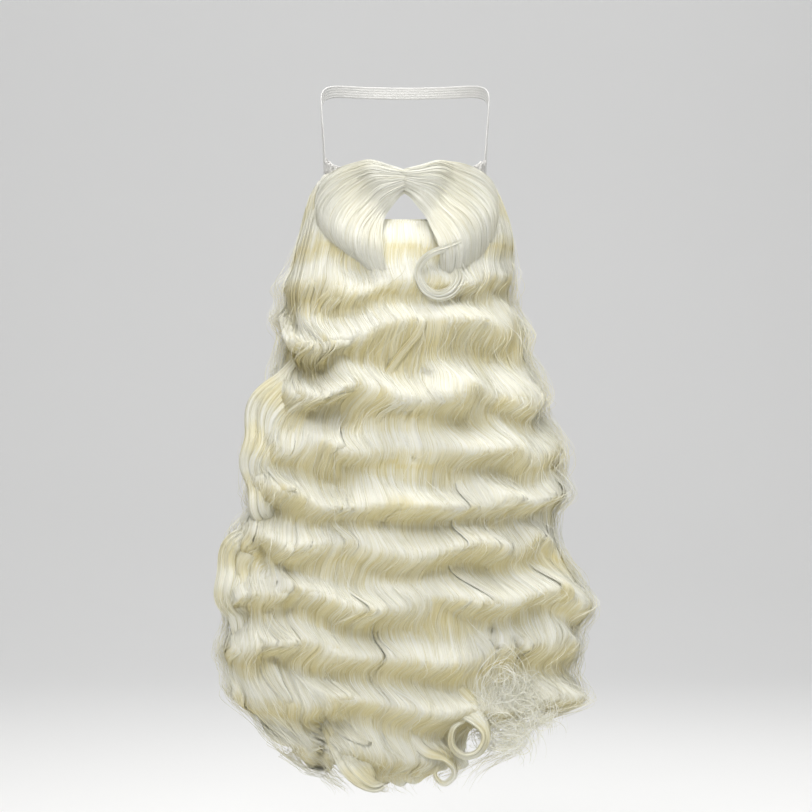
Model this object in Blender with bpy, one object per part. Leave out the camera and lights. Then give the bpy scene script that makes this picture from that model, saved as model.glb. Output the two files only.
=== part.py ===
"""Long wavy costume beard with its moustache, in the form it has when worn.

Metres, +Z up, the wearer faces -Y. The origin is where the wearer's chin rests in the foundation.
A foundation of cloth follows the jaw. Hair covers it and hangs from it in deep crosswise waves,
a moustache lies over its upper part, and an elastic band sewn to two tabs goes round the back of
the head. Every hair piece is a closed outer form: single hairs are left to the finish.
"""

import math

import bmesh
import bpy
import numpy as np

# Driving sizes
CLOTH = 0.0016
GAP = 0.0004
SPLIT_Z = -0.016
BAND_WIDTH = 0.012
BAND_THICKNESS = 0.0012
TAB_THICKNESS = 0.0015
MOUTH_WIDTH = 0.056
MOUTH_HEIGHT = 0.030
MOUTH_Z = 0.0455
MOUTH_CUT = 0.080
MOUTH_SIDES = 20
# How far each wave stands out and swings sideways, and where its trough lies below its crest
WAVE_DEPTH = 0.0085
WAVE_SWAY = 0.0055
WAVE_TROUGH = 0.42
WAVE_TOP = 0.020
WAVE_FULL = 0.060
SWAY_LEAD = 0.1
SWAY_TURN = 1.3
# Grooves between the locks, how they lean and how sharp they are
LOCKS_ACROSS = 8
GROOVE_DEPTH = 0.0065
GROOVE_SHARPNESS = 5
LOCK_SWAY = 0.045
LOCK_LEAN = 1.5
# Near its side edges the relief is calmer and the hair is this thick
RIM_CALM = 0.7
RIM_THICKNESS = 0.014
# Roundness of the horseshoe that every level follows
ROUNDNESS = 0.86
# The hollow widens to the hair's own width below the first level, within the second
WIDEN_BELOW = -0.06
WIDEN_WITHIN = 0.14
FLATTEN_BELOW = -0.26
FLATTEN_WITHIN = 0.10
# The hanging hair thins by this share over its lowest stretch
TIP_SHARE = 0.6
TIP_LENGTH = 0.06

# The wearer's jaw, level by level: half its width, its front and how far back the cloth reaches
JAW_COLUMNS = ("z", "half_width", "front", "back")
JAW = np.array(
    [
        (-0.009, 0.026, 0.020, 0.042),
        (-0.007, 0.036, 0.010, 0.047),
        (-0.003, 0.044, 0.003, 0.051),
        (0.003, 0.049, 0.000, 0.055),
        (0.020, 0.057, -0.001, 0.064),
        (0.040, 0.063, 0.000, 0.072),
        (0.060, 0.067, 0.000, 0.078),
        (0.080, 0.070, 0.000, 0.082),
        (0.100, 0.072, 0.000, 0.084),
    ]
)

# The hair's outline from the front, and its depth: its face, its sides' rear edge and its back
OUTLINE_COLUMNS = ("z", "left", "right", "front", "side_rear", "back")
OUTLINE = np.array(
    [
        (-0.470, -0.090, 0.080, -0.026, -0.004, -0.010),
        (-0.440, -0.125, 0.112, -0.031, -0.003, -0.008),
        (-0.408, -0.152, 0.152, -0.035, -0.002, -0.006),
        (-0.372, -0.166, 0.150, -0.038, 0.000, -0.004),
        (-0.334, -0.160, 0.162, -0.040, 0.002, -0.002),
        (-0.297, -0.158, 0.156, -0.041, 0.004, 0.000),
        (-0.265, -0.150, 0.136, -0.042, 0.007, 0.001),
        (-0.236, -0.141, 0.136, -0.042, 0.009, 0.002),
        (-0.205, -0.139, 0.145, -0.042, 0.012, 0.003),
        (-0.178, -0.141, 0.139, -0.042, 0.016, 0.004),
        (-0.150, -0.128, 0.127, -0.041, 0.021, 0.006),
        (-0.128, -0.117, 0.122, -0.041, 0.027, 0.008),
        (-0.100, -0.115, 0.116, -0.040, 0.035, 0.010),
        (-0.072, -0.110, 0.107, -0.038, 0.045, 0.012),
        (-0.045, -0.113, 0.100, -0.036, 0.055, 0.013),
        (SPLIT_Z, -0.109, 0.098, -0.033, 0.065, 0.010),
        (0.005, -0.104, 0.101, -0.027, 0.074, 0.0),
        (0.030, -0.098, 0.100, -0.015, 0.083, 0.0),
        (0.055, -0.092, 0.092, -0.005, 0.088, 0.0),
        (0.085, -0.084, 0.080, -0.0035, 0.088, 0.0),
    ]
)

# The hollow for jaw and neck inside the hair, level by level
HOLLOW_COLUMNS = ("z", "half_width", "front", "back")
HOLLOW = np.array(
    [
        (-0.260, 0.120, 0.001, 0.004),
        (-0.200, 0.104, 0.003, 0.008),
        (-0.150, 0.086, 0.005, 0.014),
        (-0.100, 0.074, 0.009, 0.026),
        (-0.060, 0.063, 0.012, 0.044),
        (SPLIT_Z, 0.0560, 0.0080, 0.0600),
        (-0.003, 0.0528, -0.0020, 0.0555),
        (0.003, 0.0532, -0.0026, 0.0555),
        (0.020, 0.0597, -0.0035, 0.0642),
        (0.040, 0.0655, -0.0025, 0.0722),
        (0.060, 0.0695, -0.0025, 0.0782),
        (0.080, 0.0725, -0.0025, 0.0822),
        (0.100, 0.0745, -0.0025, 0.0842),
    ]
)

# Height of each wave's crest at the left, the middle and the right
CREST_COLUMNS = ("left", "middle", "right")
CRESTS = np.array(
    [
        (0.012, 0.016, 0.020),
        (-0.035, -0.030, -0.028),
        (-0.081, -0.076, -0.070),
        (-0.129, -0.121, -0.118),
        (-0.178, -0.169, -0.176),
        (-0.224, -0.226, -0.214),
        (-0.279, -0.275, -0.265),
        (-0.327, -0.327, -0.320),
        (-0.378, -0.371, -0.366),
        (-0.426, -0.410, -0.408),
        (-0.468, -0.449, -0.446),
        (-0.510, -0.490, -0.485),
    ]
)

# Edges of the pieces over the jaw, by the place across: -1 at the left ear, 1 at the right ear
FOUNDATION_EDGE_COLUMNS = ("across", "top", "bottom")
FOUNDATION_EDGES = np.array(
    [
        (-1.00, 0.098, 0.040),
        (-0.80, 0.092, 0.022),
        (-0.55, 0.086, 0.004),
        (-0.28, 0.082, -0.007),
        (0.00, 0.074, -0.009),
        (0.28, 0.082, -0.007),
        (0.55, 0.086, 0.004),
        (0.80, 0.092, 0.022),
        (1.00, 0.098, 0.040),
    ]
)
HAIR_EDGE_COLUMNS = ("across", "top", "bottom")
HAIR_EDGES = np.array(
    [
        (-1.00, 0.074, -0.372),
        (-0.88, 0.0755, -0.392),
        (-0.74, 0.082, -0.414),
        (-0.56, 0.074, -0.434),
        (-0.34, 0.052, -0.440),
        (-0.17, 0.031, -0.444),
        (0.00, 0.030, -0.450),
        (0.17, 0.031, -0.446),
        (0.34, 0.052, -0.432),
        (0.56, 0.074, -0.416),
        (0.74, 0.082, -0.400),
        (0.88, 0.0755, -0.384),
        (1.00, 0.074, -0.368),
    ]
)
MOUSTACHE_COLUMNS = ("across", "top", "bottom", "thickness")
MOUSTACHE = np.array(
    [
        (-0.76, 0.054, 0.034, 0.005),
        (-0.66, 0.071, 0.019, 0.013),
        (-0.48, 0.086, 0.006, 0.020),
        (-0.30, 0.091, -0.008, 0.022),
        (-0.19, 0.087, -0.020, 0.020),
        (-0.12, 0.083, -0.026, 0.017),
        (-0.08, 0.080, -0.014, 0.014),
        (-0.05, 0.078, 0.040, 0.011),
        (0.00, 0.077, 0.059, 0.009),
        (0.05, 0.078, 0.046, 0.011),
        (0.09, 0.081, 0.022, 0.014),
        (0.14, 0.084, -0.004, 0.018),
        (0.20, 0.088, -0.016, 0.020),
        (0.30, 0.091, -0.014, 0.022),
        (0.48, 0.088, 0.004, 0.021),
        (0.66, 0.074, 0.018, 0.014),
        (0.76, 0.056, 0.036, 0.005),
    ]
)

# Points that each free lock follows, from its root inside the hair, and half its width there
LOCK_COLUMNS = ("x", "y", "z", "half_width")
LOCKS = {
    "far_left": (
        (-0.116, -0.017, -0.316, 0.020),
        (-0.146, -0.017, -0.350, 0.024),
        (-0.158, -0.022, -0.380, 0.020),
        (-0.150, -0.026, -0.408, 0.016),
        (-0.130, -0.030, -0.426, 0.008),
    ),
    "left": (
        (-0.098, -0.020, -0.340, 0.026),
        (-0.122, -0.022, -0.392, 0.029),
        (-0.122, -0.026, -0.424, 0.025),
        (-0.100, -0.028, -0.452, 0.018),
        (-0.082, -0.026, -0.477, 0.006),
    ),
    "left_middle": (
        (-0.066, -0.020, -0.370, 0.024),
        (-0.058, -0.022, -0.416, 0.026),
        (-0.064, -0.026, -0.446, 0.022),
        (-0.050, -0.026, -0.470, 0.009),
    ),
    "middle": (
        (-0.022, -0.022, -0.380, 0.024),
        (-0.018, -0.024, -0.430, 0.027),
        (-0.026, -0.030, -0.458, 0.022),
        (-0.014, -0.020, -0.478, 0.010),
    ),
    "middle_right": (
        (0.020, -0.022, -0.380, 0.024),
        (0.022, -0.026, -0.430, 0.026),
        (0.038, -0.032, -0.454, 0.018),
        (0.049, -0.034, -0.472, 0.011),
        (0.040, -0.036, -0.483, 0.008),
        (0.028, -0.036, -0.476, 0.005),
    ),
    "ring_curl": (
        (0.044, -0.024, -0.372, 0.024),
        (0.054, -0.030, -0.400, 0.020),
        (0.066, -0.040, -0.420, 0.011),
        (0.072, -0.044, -0.434, 0.008),
        (0.069, -0.045, -0.448, 0.007),
        (0.056, -0.046, -0.455, 0.006),
        (0.043, -0.048, -0.448, 0.006),
        (0.042, -0.056, -0.435, 0.005),
    ),
    "right": (
        (0.088, -0.022, -0.346, 0.024),
        (0.102, -0.026, -0.384, 0.026),
        (0.106, -0.030, -0.412, 0.019),
        (0.092, -0.034, -0.430, 0.009),
    ),
    "far_right": (
        (0.118, -0.018, -0.322, 0.020),
        (0.140, -0.022, -0.358, 0.021),
        (0.150, -0.026, -0.386, 0.021),
        (0.144, -0.032, -0.410, 0.017),
        (0.124, -0.036, -0.418, 0.008),
    ),
}
LOCK_FLATNESS = 0.52
LOCK_SIDES = 8
LOCK_STEPS = 3

# The moustache's gap to the hair below, which widens towards its tips over the waves
MOUSTACHE_GAP = 0.0016
MOUSTACHE_CLEAR = 0.006
MOUSTACHE_REST = 0.030
# Its combed ridges, its rounded rim, and how much denser its columns are beside the mouth
MOUSTACHE_COMB = 0.10
MOUSTACHE_RIDGES = 18
MOUSTACHE_RIM = 0.10
MOUSTACHE_DENSER = 1.4
# Columns and rows of each grid
FOUNDATION_GRID = (33, 9)
MOUSTACHE_GRID = (45, 9)
JAW_GRID = (41, 9)
HANGING_GRID = (45, 45)
TAB_GRID = (5, 4)
INNER_STEP = 4

# Middle line of the elastic's left half, from its sewn end to the middle of the back of the head
BAND_COLUMNS = ("x", "y", "z")
BAND_LEFT = np.array(
    [
        (-0.0762, 0.0735, 0.0785),
        (-0.0770, 0.0745, 0.0960),
        (-0.0785, 0.0800, 0.1200),
        (-0.0802, 0.0900, 0.1430),
        (-0.0800, 0.1120, 0.1620),
        (-0.0700, 0.1480, 0.1720),
        (-0.0400, 0.1810, 0.1750),
        (0.0000, 0.1920, 0.1755),
    ]
)
HEAD_CENTRE_Y = 0.096
HEAD_HALF_WIDTH = 0.079
HEAD_HALF_LENGTH = 0.096
BAND_STEPS = 6
# The tabs: how far across and how high they reach
TAB_ACROSS = (0.90, 0.995)
TAB_HEIGHTS = (0.0785, 0.0975)

SHARP_FROM = math.radians(50)
# Finishes: colour and roughness
HAIR = ((0.86, 0.83, 0.70, 1.0), 0.45)
CLOTH_FINISH = ((0.88, 0.87, 0.84, 1.0), 0.85)
ELASTIC = ((0.90, 0.90, 0.88, 1.0), 0.70)


def clear_scene():
    for obj in list(bpy.data.objects):
        bpy.data.objects.remove(obj)


def material(name, colour, roughness):
    made = bpy.data.materials.new(name)
    made.use_nodes = True
    shader = made.node_tree.nodes["Principled BSDF"]
    shader.inputs["Base Color"].default_value = colour
    shader.inputs["Roughness"].default_value = roughness
    shader.inputs["Metallic"].default_value = 0.0
    return made


def column(table, columns, name, at):
    """Reads one column of a table at the places given, with a smooth run between its rows."""
    rows = table[np.argsort(table[:, 0])]
    x, y = rows[:, 0], rows[:, columns.index(name)]
    at = np.clip(np.asarray(at, float), x[0], x[-1])
    slope = np.gradient(y, x)
    k = np.clip(np.searchsorted(x, at) - 1, 0, len(x) - 2)
    step = x[k + 1] - x[k]
    t = (at - x[k]) / step
    rise = (1 + 2 * t) * (1 - t) ** 2 * y[k] + t * t * (3 - 2 * t) * y[k + 1]
    return rise + step * (t * (1 - t) ** 2 * slope[k] + t * t * (t - 1) * slope[k + 1])


def around(across, half_left, half_right, front, rear):
    """Points of a horseshoe seen from above: across runs from -1, its left end, to 1, its right end."""
    turn = np.asarray(across) * math.pi / 2
    side = np.where(turn < 0, half_left, half_right)
    x = side * np.abs(np.sin(turn)) ** ROUNDNESS
    y = rear - (rear - front) * np.abs(np.cos(turn)) ** ROUNDNESS
    return x, y


def jaw_surface(across, z, proud=0.0):
    """The wearer's jaw, or a surface that stands proud of it."""
    half = column(JAW, JAW_COLUMNS, "half_width", z) + proud
    front = column(JAW, JAW_COLUMNS, "front", z) - proud
    rear = column(JAW, JAW_COLUMNS, "back", z)
    x, y = around(across, -half, half, front, rear)
    return np.stack([x, y, z], axis=-1)


def hollow_surface(across, z):
    """The inside of the hair: round the jaw and the neck above, nearly flat below."""
    half = column(HOLLOW, HOLLOW_COLUMNS, "half_width", z)
    front = column(HOLLOW, HOLLOW_COLUMNS, "front", z)
    rear = column(HOLLOW, HOLLOW_COLUMNS, "back", z)
    below = np.clip((FLATTEN_BELOW - z) / FLATTEN_WITHIN, 0, 1)
    back = column(OUTLINE, OUTLINE_COLUMNS, "back", z)
    front = front * (1 - below) + back * below
    rear = rear * (1 - below) + back * below
    left = column(OUTLINE, OUTLINE_COLUMNS, "left", z)
    right = column(OUTLINE, OUTLINE_COLUMNS, "right", z)
    wide = np.clip((WIDEN_BELOW - z) / WIDEN_WITHIN, 0, 1)
    x, y = around(
        across,
        -half * (1 - wide) + (left + RIM_THICKNESS) * wide,
        half * (1 - wide) + (right - RIM_THICKNESS) * wide,
        front,
        rear,
    )
    return np.stack([x, y, z], axis=-1)


def wave_phase(across, z):
    """How far below the last crest a point lies, from 0 at that crest to 1 at the next."""
    across = np.clip(np.asarray(across), -1, 1)
    crests = []
    for left, middle, right in CRESTS:
        bend = 0.5 * (left + right) - middle
        crests.append(middle + 0.5 * (right - left) * across + bend * across**2)
    crests = np.array(crests)
    phase = np.zeros_like(z)
    for upper, lower in zip(crests[:-1], crests[1:]):
        inside = (z <= upper) & (z > lower)
        phase = np.where(inside, (upper - z) / (upper - lower), phase)
    return phase


def wave_profile(phase):
    """1 at a crest, a quick fall to -1 below it, and a slow rise to the next crest."""
    fall = np.cos(np.pi * np.clip(phase / WAVE_TROUGH, 0, 1))
    rise = -np.cos(np.pi * np.clip((phase - WAVE_TROUGH) / (1 - WAVE_TROUGH), 0, 1))
    return np.where(phase < WAVE_TROUGH, fall, rise)


def outward(points):
    """Level directions that point away from the surface, for a grid of rows across it."""
    run = np.gradient(points, axis=1)
    out = np.stack([run[..., 1], -run[..., 0], np.zeros_like(run[..., 0])], axis=-1)
    return out / np.maximum(np.linalg.norm(out, axis=-1, keepdims=True), 1e-9)


def outline_surface(across, z):
    """The smooth outside of the hair, before its waves and grooves."""
    x, y = around(
        across,
        column(OUTLINE, OUTLINE_COLUMNS, "left", z),
        column(OUTLINE, OUTLINE_COLUMNS, "right", z),
        column(OUTLINE, OUTLINE_COLUMNS, "front", z),
        column(OUTLINE, OUTLINE_COLUMNS, "side_rear", z),
    )
    return np.stack([x, y, z], axis=-1)


def hair_surface(across, z):
    """The outside of the hair with its crosswise waves and the grooves between its locks."""
    points = outline_surface(across, z)
    phase = wave_phase(across, z)
    fade = np.clip((WAVE_TOP - z) / WAVE_FULL, 0, 1)
    sway = np.sin(2 * math.pi * (phase + SWAY_LEAD) + SWAY_TURN * across)
    place = (across + LOCK_SWAY * sway * fade) * LOCKS_ACROSS / 2 + LOCK_LEAN * z
    groove = np.abs(np.cos(math.pi * place)) ** GROOVE_SHARPNESS
    relief = WAVE_DEPTH * wave_profile(phase) * fade - GROOVE_DEPTH * groove * fade
    relief = relief * (1 - RIM_CALM * np.abs(across) ** 6)
    points = points + outward(points) * relief[..., None]
    points[..., 0] += WAVE_SWAY * sway * fade * (1 - np.abs(across) ** 4)
    return points


def strip(edges, columns, places, rows, low=None, high=None):
    """Places across and heights of a grid that fills the band between two edges."""
    top = column(edges, columns, "top", places)
    bottom = column(edges, columns, "bottom", places)
    top = top if high is None else np.minimum(top, high)
    bottom = bottom if low is None else np.maximum(bottom, low)
    share = np.linspace(0, 1, rows)[:, None]
    z = top * (1 - share) + bottom * share
    return np.broadcast_to(places, z.shape), z


def cell(row, col, step, rows, cols):
    """Corners of one cell of a grid, with every grid point of the sides that lie on its rim."""
    low, right = row + step, col + step
    ring = [(r, col) for r in range(row, low, 1 if col == 0 else step)]
    ring += [(low, c) for c in range(col, right, 1 if low == rows - 1 else step)]
    ring += [(r, right) for r in range(low, row, -1 if right == cols - 1 else -step)]
    ring += [(row, c) for c in range(right, col, -1 if row == 0 else -step)]
    return ring


def shell(name, outer, inner, finish, inner_step=1):
    """A closed solid between two grids of points, joined along their rims.

    The inner grid uses only every few points inside its rim, because it is smooth.
    """
    rows, cols = outer.shape[:2]
    points = np.concatenate([outer.reshape(-1, 3), inner.reshape(-1, 3)])
    back = rows * cols
    faces = []
    for row in range(rows - 1):
        for col in range(cols - 1):
            faces.append([r * cols + c for r, c in cell(row, col, 1, rows, cols)])
    for row in range(0, rows - 1, inner_step):
        for col in range(0, cols - 1, inner_step):
            ring = cell(row, col, inner_step, rows, cols)
            faces.append([back + r * cols + c for r, c in reversed(ring)])
    rim = [(0, c) for c in range(cols)]
    rim += [(r, cols - 1) for r in range(1, rows)]
    rim += [(rows - 1, c) for c in range(cols - 2, -1, -1)]
    rim += [(r, 0) for r in range(rows - 2, 0, -1)]
    rim = [r * cols + c for r, c in rim]
    for a, b in zip(rim, rim[1:] + rim[:1]):
        faces.append((a, b, back + b, back + a))
    used = sorted({k for face in faces for k in face})
    place = {k: i for i, k in enumerate(used)}
    faces = [[place[k] for k in face] for face in faces]
    return solid(name, points[used], faces, finish)


def solid(name, points, faces, finish):
    """An object with the faces given, turned outwards, and a material of its own."""
    mesh = bpy.data.meshes.new(name)
    mesh.from_pydata([tuple(p) for p in points], [], faces)
    work = bmesh.new()
    work.from_mesh(mesh)
    bmesh.ops.recalc_face_normals(work, faces=work.faces)
    work.to_mesh(mesh)
    work.free()
    mesh.shade_smooth()
    mesh.set_sharp_from_angle(angle=SHARP_FROM)
    obj = bpy.data.objects.new(name, mesh)
    bpy.context.scene.collection.objects.link(obj)
    obj.data.materials.append(material(name, *finish))
    return obj


def smooth_path(points, steps):
    """Points of a Catmull-Rom curve through the points given."""
    points = np.asarray(points, float)
    ends = [2 * points[0] - points[1], *points, 2 * points[-1] - points[-2]]
    ends = np.array(ends)
    made = []
    for i in range(1, len(ends) - 2):
        a, b, c, d = ends[i - 1 : i + 3]
        for t in np.arange(steps) / steps:
            made.append(
                0.5
                * (
                    2 * b
                    + (c - a) * t
                    + (2 * a - 5 * b + 4 * c - d) * t * t
                    + (3 * b - a - 3 * c + d) * t**3
                )
            )
    made.append(points[-1])
    return np.array(made)


def tube(name, path, sections, finish):
    """A closed solid swept along a path. sections holds the ring of points round each path point."""
    count, sides = sections.shape[:2]
    points = (path[:, None, :] + sections).reshape(-1, 3)
    faces = []
    for r in range(count - 1):
        for s in range(sides):
            n = (s + 1) % sides
            faces.append(
                (r * sides + s, r * sides + n, (r + 1) * sides + n, (r + 1) * sides + s)
            )
    faces.append(tuple(range(sides)))
    faces.append(tuple((count - 1) * sides + s for s in reversed(range(sides))))
    return solid(name, points, faces, finish)


def lock(name, rows):
    """A lock of hair: a flattened tube along the rows' points that thins to its tip."""
    path = smooth_path(rows, LOCK_STEPS)
    middle, half = path[:, :3], path[:, 3]
    run = np.gradient(middle, axis=0)
    run /= np.linalg.norm(run, axis=1, keepdims=True)
    toward_front = np.array([0.0, -1.0, 0.0])
    sideways = np.cross(run, toward_front)
    sideways /= np.linalg.norm(sideways, axis=1, keepdims=True)
    facing = np.cross(sideways, run)
    angle = 2 * math.pi * np.arange(LOCK_SIDES) / LOCK_SIDES
    wide = half[:, None, None] * np.cos(angle)[None, :, None] * sideways[:, None, :]
    deep = half[:, None, None] * np.sin(angle)[None, :, None] * facing[:, None, :]
    return tube(name, middle, wide + LOCK_FLATNESS * deep, HAIR)


def fuse(body, locks):
    """Joins the locks to the body, so that they are one solid."""
    for piece in locks:
        piece.hide_render = True
        piece.display_type = "WIRE"
        join = body.modifiers.new("fuse_" + piece.name, "BOOLEAN")
        join.operation = "UNION"
        join.solver = "EXACT"
        join.object = piece


def build_foundation():
    """Cloth base over cheeks, upper lip and chin, with the hole for the mouth."""
    columns, rows = FOUNDATION_GRID
    places = np.linspace(-1, 1, columns)
    across, z = strip(FOUNDATION_EDGES, FOUNDATION_EDGE_COLUMNS, places, rows)
    inner = jaw_surface(across, z)
    outer = jaw_surface(across, z, proud=CLOTH)
    base = shell("foundation", outer, inner, CLOTH_FINISH)
    bpy.ops.mesh.primitive_cylinder_add(
        vertices=MOUTH_SIDES, radius=0.5, depth=MOUTH_CUT, rotation=(math.pi / 2, 0, 0)
    )
    cutter = bpy.context.object
    cutter.name = "mouth_cutter"
    cutter.scale = (MOUTH_WIDTH, MOUTH_HEIGHT, 1)
    cutter.location = (0, 0, MOUTH_Z)
    cutter.hide_render = True
    cutter.display_type = "WIRE"
    cut = base.modifiers.new("mouth", "BOOLEAN")
    cut.operation = "DIFFERENCE"
    cut.solver = "EXACT"
    cut.object = cutter
    return base


def build_hair(name, grid, low=None, high=None, inner_step=1):
    """One length of the hair that grows from the foundation, between two heights."""
    columns, rows = grid
    places = np.linspace(-1, 1, columns)
    across, z = strip(HAIR_EDGES, HAIR_EDGE_COLUMNS, places, rows, low, high)
    outer = hair_surface(across, z)
    inner = hollow_surface(across, z)
    if low is None:
        bottom = column(HAIR_EDGES, HAIR_EDGE_COLUMNS, "bottom", places)
        thin = TIP_SHARE * np.clip(1 - (z - bottom) / TIP_LENGTH, 0, 1)[..., None] ** 2
        middle = (outer + inner) / 2
        outer = outer * (1 - thin) + middle * thin
        inner = inner * (1 - thin) + middle * thin
    return shell(name, outer, inner, HAIR, inner_step)


def build_moustache():
    """Two wings of hair that part under the nose and come lowest beside the mouth."""
    columns, rows = MOUSTACHE_GRID
    spread = np.linspace(-1, 1, columns)
    places = MOUSTACHE[-1, 0] * np.sign(spread) * np.abs(spread) ** MOUSTACHE_DENSER
    across, z = strip(MOUSTACHE, MOUSTACHE_COLUMNS, places, rows)
    seat = outline_surface(across, z)
    out = outward(seat)
    thick = column(MOUSTACHE, MOUSTACHE_COLUMNS, "thickness", places)
    rounded = np.sqrt(np.sin(np.pi * np.linspace(MOUSTACHE_RIM, 1 - MOUSTACHE_RIM, rows)))
    comb = 1 + MOUSTACHE_COMB * np.cos(math.pi * MOUSTACHE_RIDGES * across)
    swell = thick * comb * rounded[:, None]
    clear = MOUSTACHE_CLEAR * np.clip((MOUSTACHE_REST - z) / MOUSTACHE_REST, 0, 1)
    inner = seat + out * (MOUSTACHE_GAP + clear)[..., None]
    outer = seat + out * (MOUSTACHE_GAP + clear + swell)[..., None]
    return shell("moustache", outer, inner, HAIR)


def build_tab(name, side):
    """Cloth tab on the foundation's corner, to which the elastic is sewn."""
    near, far = TAB_ACROSS
    low, high = TAB_HEIGHTS
    columns, rows = TAB_GRID
    places = np.linspace(side * near, side * far, columns)
    across, z = np.meshgrid(places, np.linspace(high, low, rows))
    inner = jaw_surface(across, z, proud=CLOTH + GAP)
    outer = jaw_surface(across, z, proud=CLOTH + GAP + TAB_THICKNESS)
    return shell(name, outer, inner, CLOTH_FINISH)


def build_band():
    """Flat elastic band from one tab round the back of the head to the other."""
    right = BAND_LEFT[-2::-1] * np.array([-1, 1, 1])
    path = smooth_path(np.concatenate([BAND_LEFT, right]), BAND_STEPS)
    run = np.gradient(path, axis=0)
    run /= np.linalg.norm(run, axis=1, keepdims=True)
    out = np.zeros_like(path)
    out[:, 0] = path[:, 0] / HEAD_HALF_WIDTH**2
    out[:, 1] = (path[:, 1] - HEAD_CENTRE_Y) / HEAD_HALF_LENGTH**2
    out -= run * np.sum(out * run, axis=1, keepdims=True)
    out /= np.linalg.norm(out, axis=1, keepdims=True)
    over = np.cross(run, out)
    corners = []
    for wide, thick in ((-0.5, -0.5), (0.5, -0.5), (0.5, 0.5), (-0.5, 0.5)):
        corners.append(wide * BAND_WIDTH * over + thick * BAND_THICKNESS * out)
    return tube("elastic_band", path, np.stack(corners, axis=1), ELASTIC)


def main():
    clear_scene()
    build_foundation()
    build_tab("tab_left", -1)
    build_tab("tab_right", 1)
    build_band()
    build_moustache()
    build_hair("jaw_hair", JAW_GRID, low=SPLIT_Z + GAP)
    lengths = build_hair("hanging_hair", HANGING_GRID, high=SPLIT_Z, inner_step=INNER_STEP)
    fuse(lengths, [lock(name, rows) for name, rows in LOCKS.items()])


main()
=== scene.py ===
"""Long wavy costume beard with its moustache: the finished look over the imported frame.

Every piece of hair is a set of combed locks. A lock is a closed lens-shaped body whose columns
follow its hairs, with single hairs laid over it. All hair shares one field of crosswise waves.
"""

import math

import bpy
import numpy as np
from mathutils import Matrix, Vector


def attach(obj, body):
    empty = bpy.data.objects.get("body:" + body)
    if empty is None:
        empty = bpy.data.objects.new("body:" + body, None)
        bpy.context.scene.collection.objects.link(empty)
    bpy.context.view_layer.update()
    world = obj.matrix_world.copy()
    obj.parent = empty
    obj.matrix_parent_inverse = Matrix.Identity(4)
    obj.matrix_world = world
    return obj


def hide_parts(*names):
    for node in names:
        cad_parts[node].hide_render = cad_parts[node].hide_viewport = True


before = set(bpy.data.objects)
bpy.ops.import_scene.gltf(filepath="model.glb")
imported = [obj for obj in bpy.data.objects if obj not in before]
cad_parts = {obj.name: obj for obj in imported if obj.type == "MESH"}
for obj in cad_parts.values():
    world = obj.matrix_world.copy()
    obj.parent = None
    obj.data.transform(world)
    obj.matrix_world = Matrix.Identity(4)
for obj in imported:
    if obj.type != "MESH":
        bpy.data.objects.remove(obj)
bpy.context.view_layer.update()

bl_info = {
    "name": "Wavy costume beard",
    "version": (1, 0, 0),
    "blender": (4, 5, 0),
    "location": "3D View > Sidebar > Beard",
    "description": "Dresses the frame of a long costume beard with combed hair, cloth and elastic",
    "category": "Add Mesh",
}

PHOTO_SIDE = 812
MM = 0.001

# Photo pixels to metres: the pixel of the origin and the size of one pixel
ORIGIN_PX = (405.0, 257.0)
PIXEL = 0.00092

# The hair's outline from the front, and its depth: its face, its sides' rear edge and its back
OUTLINE_COLUMNS = ("z", "left", "right", "front", "side_rear", "back")
OUTLINE = np.array(
    [
        (-0.492, -0.070, 0.055, -0.020, -0.006, -0.012),
        (-0.470, -0.096, 0.082, -0.026, -0.004, -0.010),
        (-0.440, -0.125, 0.112, -0.031, -0.003, -0.008),
        (-0.408, -0.152, 0.152, -0.035, -0.002, -0.006),
        (-0.372, -0.166, 0.150, -0.038, 0.000, -0.004),
        (-0.334, -0.160, 0.162, -0.040, 0.002, -0.002),
        (-0.297, -0.158, 0.156, -0.041, 0.004, 0.000),
        (-0.265, -0.150, 0.136, -0.042, 0.007, 0.001),
        (-0.236, -0.141, 0.136, -0.042, 0.009, 0.002),
        (-0.205, -0.139, 0.145, -0.042, 0.012, 0.003),
        (-0.178, -0.141, 0.139, -0.042, 0.016, 0.004),
        (-0.150, -0.128, 0.127, -0.041, 0.021, 0.006),
        (-0.128, -0.117, 0.122, -0.041, 0.027, 0.008),
        (-0.100, -0.115, 0.116, -0.040, 0.035, 0.010),
        (-0.072, -0.110, 0.107, -0.038, 0.045, 0.012),
        (-0.045, -0.113, 0.100, -0.036, 0.055, 0.013),
        (-0.016, -0.109, 0.098, -0.033, 0.065, 0.010),
        (0.005, -0.104, 0.101, -0.027, 0.074, 0.0),
        (0.030, -0.098, 0.100, -0.015, 0.083, 0.0),
        (0.055, -0.092, 0.092, -0.005, 0.088, 0.0),
        (0.085, -0.084, 0.080, -0.0035, 0.088, 0.0),
    ]
)
# The hollow for jaw and neck inside the hair, level by level
HOLLOW_COLUMNS = ("z", "half_width", "front", "back")
HOLLOW = np.array(
    [
        (-0.260, 0.120, 0.001, 0.004),
        (-0.200, 0.104, 0.003, 0.008),
        (-0.150, 0.086, 0.005, 0.014),
        (-0.100, 0.074, 0.009, 0.026),
        (-0.060, 0.063, 0.012, 0.044),
        (-0.016, 0.0560, 0.0080, 0.0600),
        (-0.003, 0.0528, -0.0020, 0.0555),
        (0.003, 0.0532, -0.0026, 0.0555),
        (0.020, 0.0597, -0.0035, 0.0642),
        (0.040, 0.0655, -0.0025, 0.0722),
        (0.060, 0.0695, -0.0025, 0.0782),
        (0.080, 0.0725, -0.0025, 0.0822),
        (0.100, 0.0745, -0.0025, 0.0842),
    ]
)
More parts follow.
